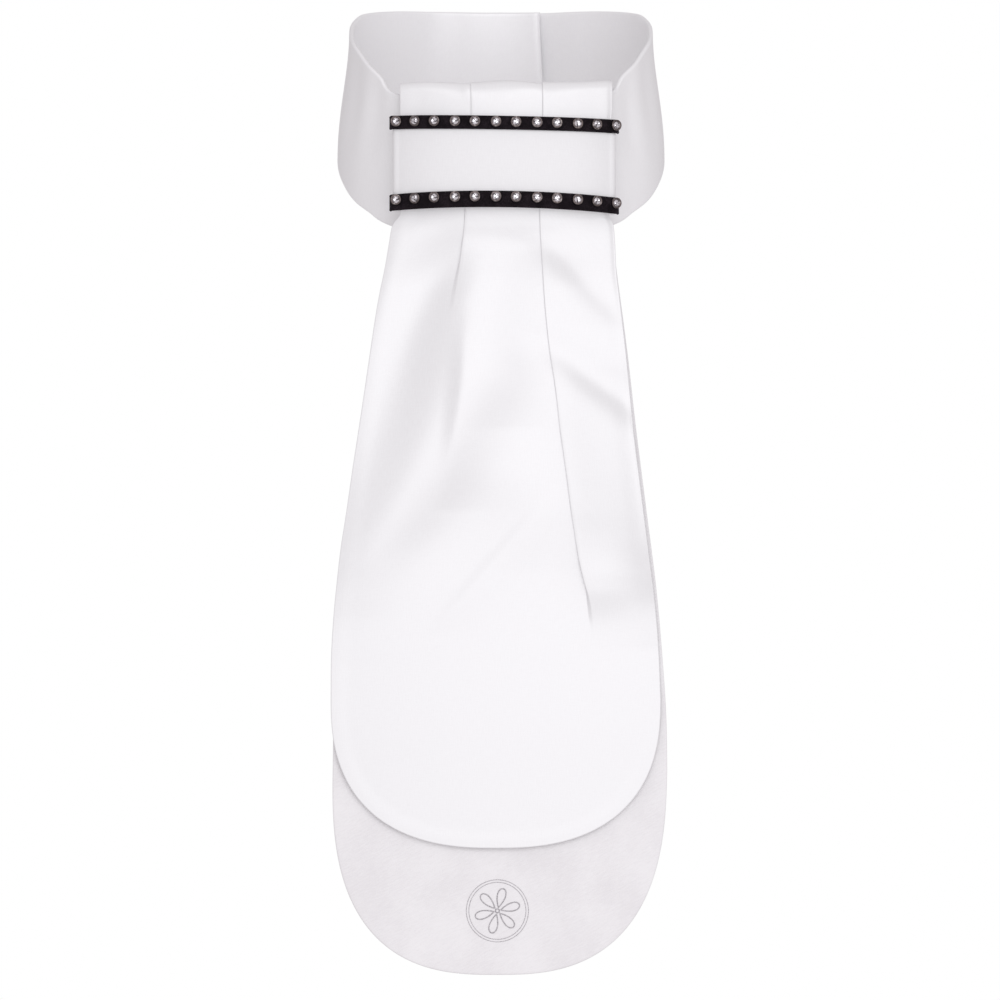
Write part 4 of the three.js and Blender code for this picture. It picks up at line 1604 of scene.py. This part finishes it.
@dataclass
class Embroidery:
    """A plain double ring round a six-petalled flower, embroidered in silver-grey thread.

    Each stitch field holds a stitch's length and the distance between stitches.
    """

    shop: Workshop
    tail: RearTail
    centre: Span = (-1.4, -323.9)
    ring_radius: float = 11.6
    ring_gap: float = 1.0
    ring_stitch: Span = (1.1, 0.75)
    petals: int = 6
    first_petal: float = 0.25
    petal_length: float = 7.6
    petal_width: float = 2.1
    petal_stitch: Span = (0.6, 0.3)
    petal_start: float = 1.3
    heart_radius: float = 0.78
    thread: float = 0.26
    thread_lift: float = 0.3
    scatter: float = 0.12
    steps: int = 60

    def laid(self, x: Grid, z: Grid) -> Grid:
        """Lays a flat line on the rear tail's front face."""
        lift = self.tail.wall / 2 + self.thread * self.thread_lift
        return np.stack([x, self.tail.surface(x, z) - lift, z], axis=1)

    def circle(self, radius: float) -> Grid:
        """Draws a circle round the centre.

        Args:
            radius: Its radius.

        Returns:
            Its points.
        """
        turn = np.linspace(0, 2 * math.pi, self.steps, endpoint=False)
        x, z = self.centre
        return self.laid(x + radius * np.cos(turn), z + radius * np.sin(turn))

    def petal(self, angle: float) -> Grid:
        """Draws one pointed petal outwards from the heart.

        Args:
            angle: The petal's direction, in radians.

        Returns:
            Its points.
        """
        t = np.linspace(0, 2 * math.pi, self.steps // 2, endpoint=False)
        out = self.petal_start + self.petal_length * (1 - np.cos(t)) / 2
        side = self.petal_width * np.sin(t) * np.sin(t / 2)
        x, z = self.centre
        return self.laid(
            x + out * math.cos(angle) - side * math.sin(angle),
            z + out * math.sin(angle) + side * math.cos(angle),
        )

    def stitched(self, name: str, loops: Sequence[Grid], stitch: Span, lay: Lay) -> bpy.types.Object:
        """Lays stitches along closed loops.

        Args:
            name: The piece's name.
            loops: The loops' points.
            stitch: Each stitch's length and the distance between stitches.
            lay: How they lie to the loop.

        Returns:
            The stitches as one piece.
        """
        edges, start = [], 0
        for loop in loops:
            count = len(loop)
            edges += [(start + i, start + (i + 1) % count) for i in range(count)]
            start += count
        length, pitch = stitch
        thing = self.shop.stitching.grow(
            new_object(name, np.concatenate(loops), edges=edges),
            {
                "Pitch": pitch * MM,
                "Length": length * MM,
                "Thread": self.thread * MM,
                "Lay": math.radians(lay.value),
                "Scatter": self.scatter,
                "Smooth": True,
                "Material": self.shop.silver_thread.material,
            },
        )
        return finish_piece(thing, self.shop.silver_thread, [])

    def build(self) -> list[bpy.types.Object]:
        """Makes and dresses the ring and the flower.

        Returns:
            The ring and the flower.
        """
        circles = [self.circle(self.ring_radius + side * self.ring_gap / 2) for side in (-1, 1)]
        angles = [2 * math.pi * (k + self.first_petal) / self.petals for k in range(self.petals)]
        flower = [*map(self.petal, angles), self.circle(self.heart_radius)]
        return [
            self.stitched("embroidered_ring", circles, self.ring_stitch, Lay.ALONG),
            self.stitched("embroidered_flower", flower, self.petal_stitch, Lay.ACROSS),
        ]


@dataclass
class NeckBand:
    """The neck band with its lapped ends and the tape between them."""

    shop: Workshop
    shape: NeckShape
    name: str = "neck_band_cloth"
    lap_degrees: float = 32.0
    lap_shift: float = 1.95
    lap_start: float = 148.0
    sections: int = 250
    rows: int = 26
    first_inset: float = 0.05
    flat: Span = (50.0, 436.0)
    patch_wall: float = 1.5
    patch_degrees: float = 12.0
    patch_height: float = 22.0
    patch_steps: tuple[int, int] = (18, 30)

    def build(self) -> bpy.types.Object:
        """Makes and dresses the band.

        Returns:
            The band.
        """
        reach = 180 + self.lap_degrees / 2
        angle = np.linspace(-reach, reach, self.sections)[None, :]
        top, bottom = self.shape.edge(angle, "top"), self.shape.edge(angle, "bottom")
        height = top - bottom
        down = edged_steps(height[0], self.rows, EDGE.offsets)
        share = 1 - down / height
        lap = self.lap_shift * smoothstep(np.abs(angle), self.lap_start, 180 - self.lap_degrees / 2)
        dents = self.shape.dent(angle, mix(bottom, top, share))
        shift = np.sign(angle) * lap - self.shape.wall / 2 - dents
        grid = self.shape.point(angle + 0 * share, share, shift)
        end = np.radians(reach - np.abs(angle)) * self.shape.back_depth + self.first_inset
        distances = np.minimum(np.minimum(down, height - down), end)
        thickness = EDGE.thickness(self.shape.wall, distances)
        return cloth_piece(self.name, grid, thickness, self.shop.neck_satin, "collar_band")

    def build_patch(self) -> bpy.types.Object:
        """Makes and dresses the tape between the lapped ends.

        Returns:
            The tape.
        """
        nape = np.array(180.0)
        top, bottom = self.shape.edge(nape, "top"), self.shape.edge(nape, "bottom")
        rows, columns = self.patch_steps
        angle = 180 + self.patch_degrees * np.linspace(-1, 1, columns)[None, :]
        up = self.patch_height * np.linspace(0.5, -0.5, rows)[:, None]
        share = 0.5 + up / float(top - bottom) + 0 * angle
        grid = self.shape.point(angle + 0 * share, share, -self.shape.wall / 2 + 0 * share)
        thickness = np.full(grid.shape[:2], self.patch_wall)
        return cloth_piece("hook_and_loop_patch", grid, thickness, self.shop.tape, "neck_fastener")


@dataclass(frozen=True)
class StripPlan:
    """The line that a velvet strip follows round the cross band."""

    label: str
    middle: float
    tilt: float
    arch: float
    width: float

    def height(self, place: Grid) -> Grid:
        """Gives its height at a place from -1 at the left end to 1 at the right."""
        return self.middle + self.tilt * place + self.arch * (1 - place**2)


@dataclass
class CrossBand:
    """The cross band round both tails."""

    shop: Workshop
    panel: PanelPlan
    name: str = "cross_band_cloth"
    left: float = -42.1
    right: float = 44.6
    bend: float = 1.9
    bend_roundness: float = 3.2
    pleat_room: float = 3.3
    pleat_flatness: float = 6.0
    end_room: float = 0.3
    cloth: float = 1.1
    gap: float = 0.3
    run_steps: int = 60
    bend_steps: int = 24
    loop_steps: int = 240
    rows: int = 22
    flat: Span = (38.0, 188.0)
    top: StripPlan = StripPlan("top", -18.15, -0.75, 0.1, 5.3)
    bottom: StripPlan = StripPlan("bottom", -49.1, -0.6, 1.5, 6.4)

    def place(self, x: Grid) -> Grid:
        """Turns a place across into a share from -1 to 1."""
        return (x - (self.left + self.right) / 2) / ((self.right - self.left) / 2)

    def front_y(self, x: Grid) -> Grid:
        """Gives the band's middle line along the front."""
        room = self.pleat_room * (1 - np.abs(self.place(x)) ** self.pleat_flatness)
        return self.panel.y(x, 0.0) - self.cloth - self.gap - np.maximum(room, 0) - self.end_room

    def rear_y(self, x: Grid) -> Grid:
        """Gives the band's middle line along the rear."""
        return self.panel.y(x, 0.0) + 2 * (self.cloth + self.gap)

    def bend_points(self, side: int, turns: Grid, shift: float) -> Grid:
        """Goes round one end of the band.

        Args:
            side: -1 for the left end, 1 for the right.
            turns: Degrees from the outermost point, positive to the front.
            shift: The distance outside the middle line.

        Returns:
            Points in plan.
        """
        outer = self.right if side > 0 else self.left
        x = np.array(outer - side * (self.cloth / 2 + self.bend))
        middle = (self.front_y(x) + self.rear_y(x)) / 2
        half = (self.rear_y(x) - self.front_y(x)) / 2 + shift
        power = 2 / self.bend_roundness
        turn = np.radians(turns)
        across = x + side * (self.bend + shift) * signed_power(np.cos(turn), power)
        return np.stack([across, middle - half * signed_power(np.sin(turn), power)], axis=1)

    def half_loop(self, way: int, shift: float) -> Grid:
        """Gives the front half of the loop, from left to right, or the rear half back.

        Args:
            way: 1 for the front half, -1 for the rear half.
            shift: The distance outside the middle line.

        Returns:
            Points in plan.
        """
        turns = way * 90 * np.linspace(0, 1, self.bend_steps, endpoint=False)
        inset = self.cloth / 2 + self.bend
        x = np.linspace(self.left + inset, self.right - inset, self.run_steps)[::way]
        y = (self.front_y(x) if way > 0 else self.rear_y(x)) - way * shift
        first = self.bend_points(-way, turns, shift)
        last = self.bend_points(way, turns[::-1], shift)
        return np.concatenate([first, np.stack([x, y], axis=1), last])

    def build(self) -> bpy.types.Object:
        """Makes and dresses the band.

        Returns:
            The band.
        """
        halves = np.concatenate([self.half_loop(1, 0.0), self.half_loop(-1, 0.0)])
        line = even_line(halves, self.loop_steps, closed=True)
        place = self.place(line[:, 0])
        top = self.top.height(place) + self.top.width / 2
        height = top - self.bottom.height(place) + self.bottom.width / 2
        down = edged_steps(height, self.rows, EDGE.offsets)
        thickness = EDGE.thickness(self.cloth, np.minimum(down, height - down))
        grid = upright(line, top - down)
        return cloth_piece(self.name, grid, thickness, self.shop.cross_satin, "cross_band", loop=True)


@dataclass
class VelvetStrip:
    """One velvet ribbon along an edge of the cross band."""

    shop: Workshop
    band: CrossBand
    plan: StripPlan
    wall: float = 1.0
    gap: float = 0.3
    steps: int = 230
    rows: int = 7
    selvedge: float = 0.16
    selvedge_inset: float = 0.55
    selvedge_spread: float = 0.22

    def path(self, shift: float) -> Grid:
        """Gives the ribbon's middle line in plan, at a distance outside the band."""
        return even_line(self.band.half_loop(1, self.band.cloth / 2 + self.gap + shift), self.steps)

    def build(self) -> bpy.types.Object:
        """Makes and dresses the ribbon.

        Returns:
            The ribbon.
        """
        line = self.path(self.wall / 2)
        centre = self.plan.height(self.band.place(line[:, 0]))
        down = edged_steps(np.full(self.steps, self.plan.width), self.rows, EDGE.offsets[:-1])
        grid = upright(line, centre + self.plan.width / 2 - down)
        edge = np.minimum(down, self.plan.width - down)
        ridge = np.exp(-(((edge - self.selvedge_inset) / self.selvedge_spread) ** 2))
        thickness = EDGE.thickness(self.wall, edge) + self.selvedge * ridge
        name, node = f"velvet_ribbon_{self.plan.label}", f"velvet_strip_{self.plan.label}"
        return cloth_piece(name, grid, thickness, self.shop.velvet, node)


@dataclass
class StoneRow:
    """Twelve cut stones in cups along one velvet strip.

    The kite field holds how far out and up the kite facets' side corners lie between the
    table and the girdle, and the cup's profile holds the radius and height of its points.
    """

    shop: Workshop
    strip: VelvetStrip
    count: int = 12
    facets: int = 8
    table_radius: float = 0.8
    table_height: float = 1.32
    table_hollow: float = 0.10
    kite: Span = (0.5, 0.55)
    girdle_radius: float = 1.5
    girdle_height: float = 0.74
    base_height: float = 0.12
    painted_facet_glints: tuple[float, ...] = (0.06, 0.3, 0.75, 1.0, 1.0)
    cup_sides: int = 28
    cup_profile: tuple[Span, ...] = (
        (2.0, 0.0),
        (2.1, 0.14),
        (2.1, 0.73),
        (2.02, 0.89),
        (1.79, 0.95),
        (1.5, 0.88),
        (1.42, 0.71),
        (1.42, 0.06),
    )

    def nodes(self) -> list[str]:
        """Names the frame's nodes for this row."""
        return [f"rhinestone_{self.strip.plan.label}_{k + 1:02d}" for k in range(self.count)]

    def carrier(self, name: str) -> bpy.types.Object:
        """Makes the points under the stones' middles, each with its outward direction.

        Args:
            name: The carrier's name.

        Returns:
            The carrier.
        """
        line = self.strip.path(self.strip.wall)
        places, outwards = [], []
        for node in self.nodes():
            low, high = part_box(node)
            middle = np.array((low + high) / 2) / MM
            nearest = int(np.argmin(np.linalg.norm(line - middle[:2], axis=1)))
            nearest = min(max(nearest, 1), len(line) - 2)
            way = line[nearest + 1] - line[nearest - 1]
            outward = np.array([way[1], -way[0]]) / np.linalg.norm(way)
            seat = line[nearest] + outward * self.strip.gap
            places.append([*seat, middle[2]])
            outwards.append([*outward, 0.0])
        thing = new_object(name, np.array(places))
        attribute = thing.data.attributes.new(OUTWARD, "FLOAT_VECTOR", "POINT")
        attribute.data.foreach_set("vector", np.array(outwards, np.float32).ravel())
        return thing

    def stone_shape(self) -> bpy.types.Object:
        """Makes one stone's crown: a table, eight star, eight kite and sixteen girdle facets.

        Returns:
            The stone.
        """
        sides = self.facets
        out, up = self.kite
        kite_radius = mix(self.table_radius, self.girdle_radius, out)
        kite_height = mix(self.girdle_height, self.table_height, up)
        vertices = [
            (0.0, 0.0, self.table_height - self.table_hollow),
            *ring(self.table_radius, self.table_height, sides),
            *ring(kite_radius, kite_height, sides, 0.5),
            *ring(self.girdle_radius, self.girdle_height, 2 * sides),
            *ring(self.girdle_radius, self.base_height, 2 * sides),
        ]
        table, star, girdle, base = 1, 1 + sides, 1 + 2 * sides, 1 + 4 * sides
        faces: list[tuple[int, ...]] = []
        for k in range(sides):
            after, before = (k + 1) % sides, (k - 1) % sides
            corner = girdle + 2 * k
            faces.append((0, table + k, table + after))
            faces.append((table + k, star + k, table + after))
            faces.append((table + k, star + before, corner, star + k))
            faces.append((star + k, corner, corner + 1))
            faces.append((star + k, corner + 1, girdle + 2 * after))
        for k in range(2 * sides):
            after = (k + 1) % (2 * sides)
            faces.append((girdle + k, base + k, base + after, girdle + after))
        faces.append(tuple(base + k for k in reversed(range(2 * sides))))
        thing = new_object("stone_shape", np.array(vertices), faces)
        # Painted reflections: each facet is given one fixed glint brightness at random.
        tones = np.random.default_rng(FACET_SEED).choice(self.painted_facet_glints, len(faces))
        attribute = thing.data.attributes.new(PAINTED_GLINT, "FLOAT", "FACE")
        attribute.data.foreach_set("value", tones.astype(np.float32))
        return thing

    def cup_shape(self) -> bpy.types.Object:
        """Makes one cup: a turned wall with a rounded rim that closes over the girdle."""
        return new_object("cup_shape", *turned(self.cup_profile, self.cup_sides, closed=True))

    def build(self) -> list[bpy.types.Object]:
        """Makes and dresses the row's stones and cups.

        Returns:
            The stones and the cups.
        """
        kinds = (
            ("cut_stones", self.stone_shape, self.shop.stone, False),
            ("stone_cups", self.cup_shape, self.shop.cup, True),
        )
        made = []
        for kind, shape, finish, smooth in kinds:
            piece = shape()
            thing = self.carrier(f"{kind}_{self.strip.plan.label}")
            values = {"Piece": piece, "Spin": 2 * math.pi, "Smooth": smooth}
            self.shop.setting.grow(thing, {**values, "Material": finish.material})
            bpy.data.objects.remove(piece)
            made.append(finish_piece(thing, finish, self.nodes()))
        return made


@dataclass
class Studio:
    """Camera, one soft light, ambient light and the plain pale surround, in metres.

    The surround's profile holds shares of its radius, outwards and up.
    """

    camera_place: Triple = (0.0, -1.866, -0.164)
    lens: float = 167.4
    shift: float = -0.001
    light_place: Triple = (0.28, -2.05, 0.2)
    light_target: Triple = (0.0, -0.05, -0.16)
    light_size: float = 2.0
    light_power: float = 20.5
    light_colour: Colour = (0.97, 0.985, 1.0)
    ambient: float = 0.64
    ambient_colour: Colour = (1.0, 0.962, 0.985)
    surround_radius: float = 5.0
    surround_sides: int = 48
    floor: float = -0.62
    profile: tuple[Span, ...] = (
        (0.001, 0.0),
        (0.55, 0.0),
        (0.8, 0.04),
        (0.94, 0.16),
        (1.0, 0.4),
        (1.0, 1.1),
        (0.001, 1.25),
    )

    def build(self) -> None:
        """Sets the studio up."""
        self.place_camera()
        self.place_light()
        self.make_surround()
        bpy.context.scene.view_settings.view_transform = "Standard"

    def place_camera(self) -> None:
        """Puts the camera at the photograph's viewing angle."""
        data = bpy.data.cameras.new("camera")
        data.lens = self.lens
        data.shift_x = self.shift
        camera = bpy.data.objects.new("camera", data)
        camera.location = self.camera_place
        camera.rotation_euler = (math.pi / 2, 0.0, 0.0)
        bpy.context.scene.collection.objects.link(camera)
        bpy.context.scene.camera = camera

    def place_light(self) -> None:
        """Adds the soft light and the ambient light."""
        data = bpy.data.lights.new("key_light", "AREA")
        data.energy = self.light_power
        data.size = self.light_size
        data.color = self.light_colour
        light = bpy.data.objects.new("key_light", data)
        light.location = self.light_place
        way = Vector(self.light_target) - Vector(self.light_place)
        light.rotation_euler = way.to_track_quat("-Z", "Y").to_euler()
        bpy.context.scene.collection.objects.link(light)
        world = bpy.data.worlds.new("ambient")
        world.use_nodes = True
        background = world.node_tree.nodes["Background"]
        background.inputs["Color"].default_value = (*self.ambient_colour, 1.0)
        background.inputs["Strength"].default_value = self.ambient
        bpy.context.scene.world = world

    def make_surround(self) -> None:
        """Makes one bowl of pale floor and curved wall, which only the camera sees."""
        points, faces = turned(self.profile, self.surround_sides, closed=False)
        points = points * self.surround_radius + (0.0, 0.0, self.floor)
        bowl = new_object("studio_surround", points / MM, faces)
        paint = Paint("pale_surround")
        glow = paint.wire("ShaderNodeEmission", {}, {"Color": (1.0, 1.0, 1.0, 1.0), "Strength": 1.0})
        paint.add("ShaderNodeOutputMaterial", {}, {"Surface": glow})
        bowl.data.materials.append(paint.material)
        for ray in ("diffuse", "glossy", "transmission", "volume_scatter", "shadow"):
            setattr(bowl, f"visible_{ray}", False)


def declare(thing: bpy.types.Object, flat: Span, held: Held, pieces: Things) -> None:
    """Works out a sheet of cloth's flat size in metres, which nothing keeps.

    Args:
        thing: The sheet; not used.
        flat: Its width and length before it was made up, in millimetres.
        held: How it is held; not used.
        pieces: The separate pieces on it; not used.
    """
    size = (flat[0] * MM, flat[1] * MM)


def main() -> None:
    """Builds every sub-assembly in order."""
    logging.basicConfig(level=logging.INFO, format="%(name)s %(message)s")
    Studio().build()
    shop = Workshop.opened()
    neck, panel = NeckShape(), PanelPlan()
    neck_band = NeckBand(shop, neck)
    band_cloth = neck_band.build()
    declare(band_cloth, neck_band.flat, Held.FOLDED, [neck_band.build_patch()])
    rear = RearTail(shop, neck, panel)
    rear_cloth = rear.build()
    declare(rear_cloth, rear.flat, Held.HUNG, Embroidery(shop, rear).build())
    front = FrontTail(shop, neck, panel)
    declare(front.build(), front.flat, Held.HUNG, [])
    cross = CrossBand(shop, panel)
    cross_cloth = cross.build()
    trims: list[bpy.types.Object] = []
    for plan in (cross.top, cross.bottom):
        strip = VelvetStrip(shop, cross, plan)
        trims += [strip.build(), *StoneRow(shop, strip).build()]
    declare(cross_cloth, cross.flat, Held.FOLDED, trims)


if __name__ == "__main__":
    main()
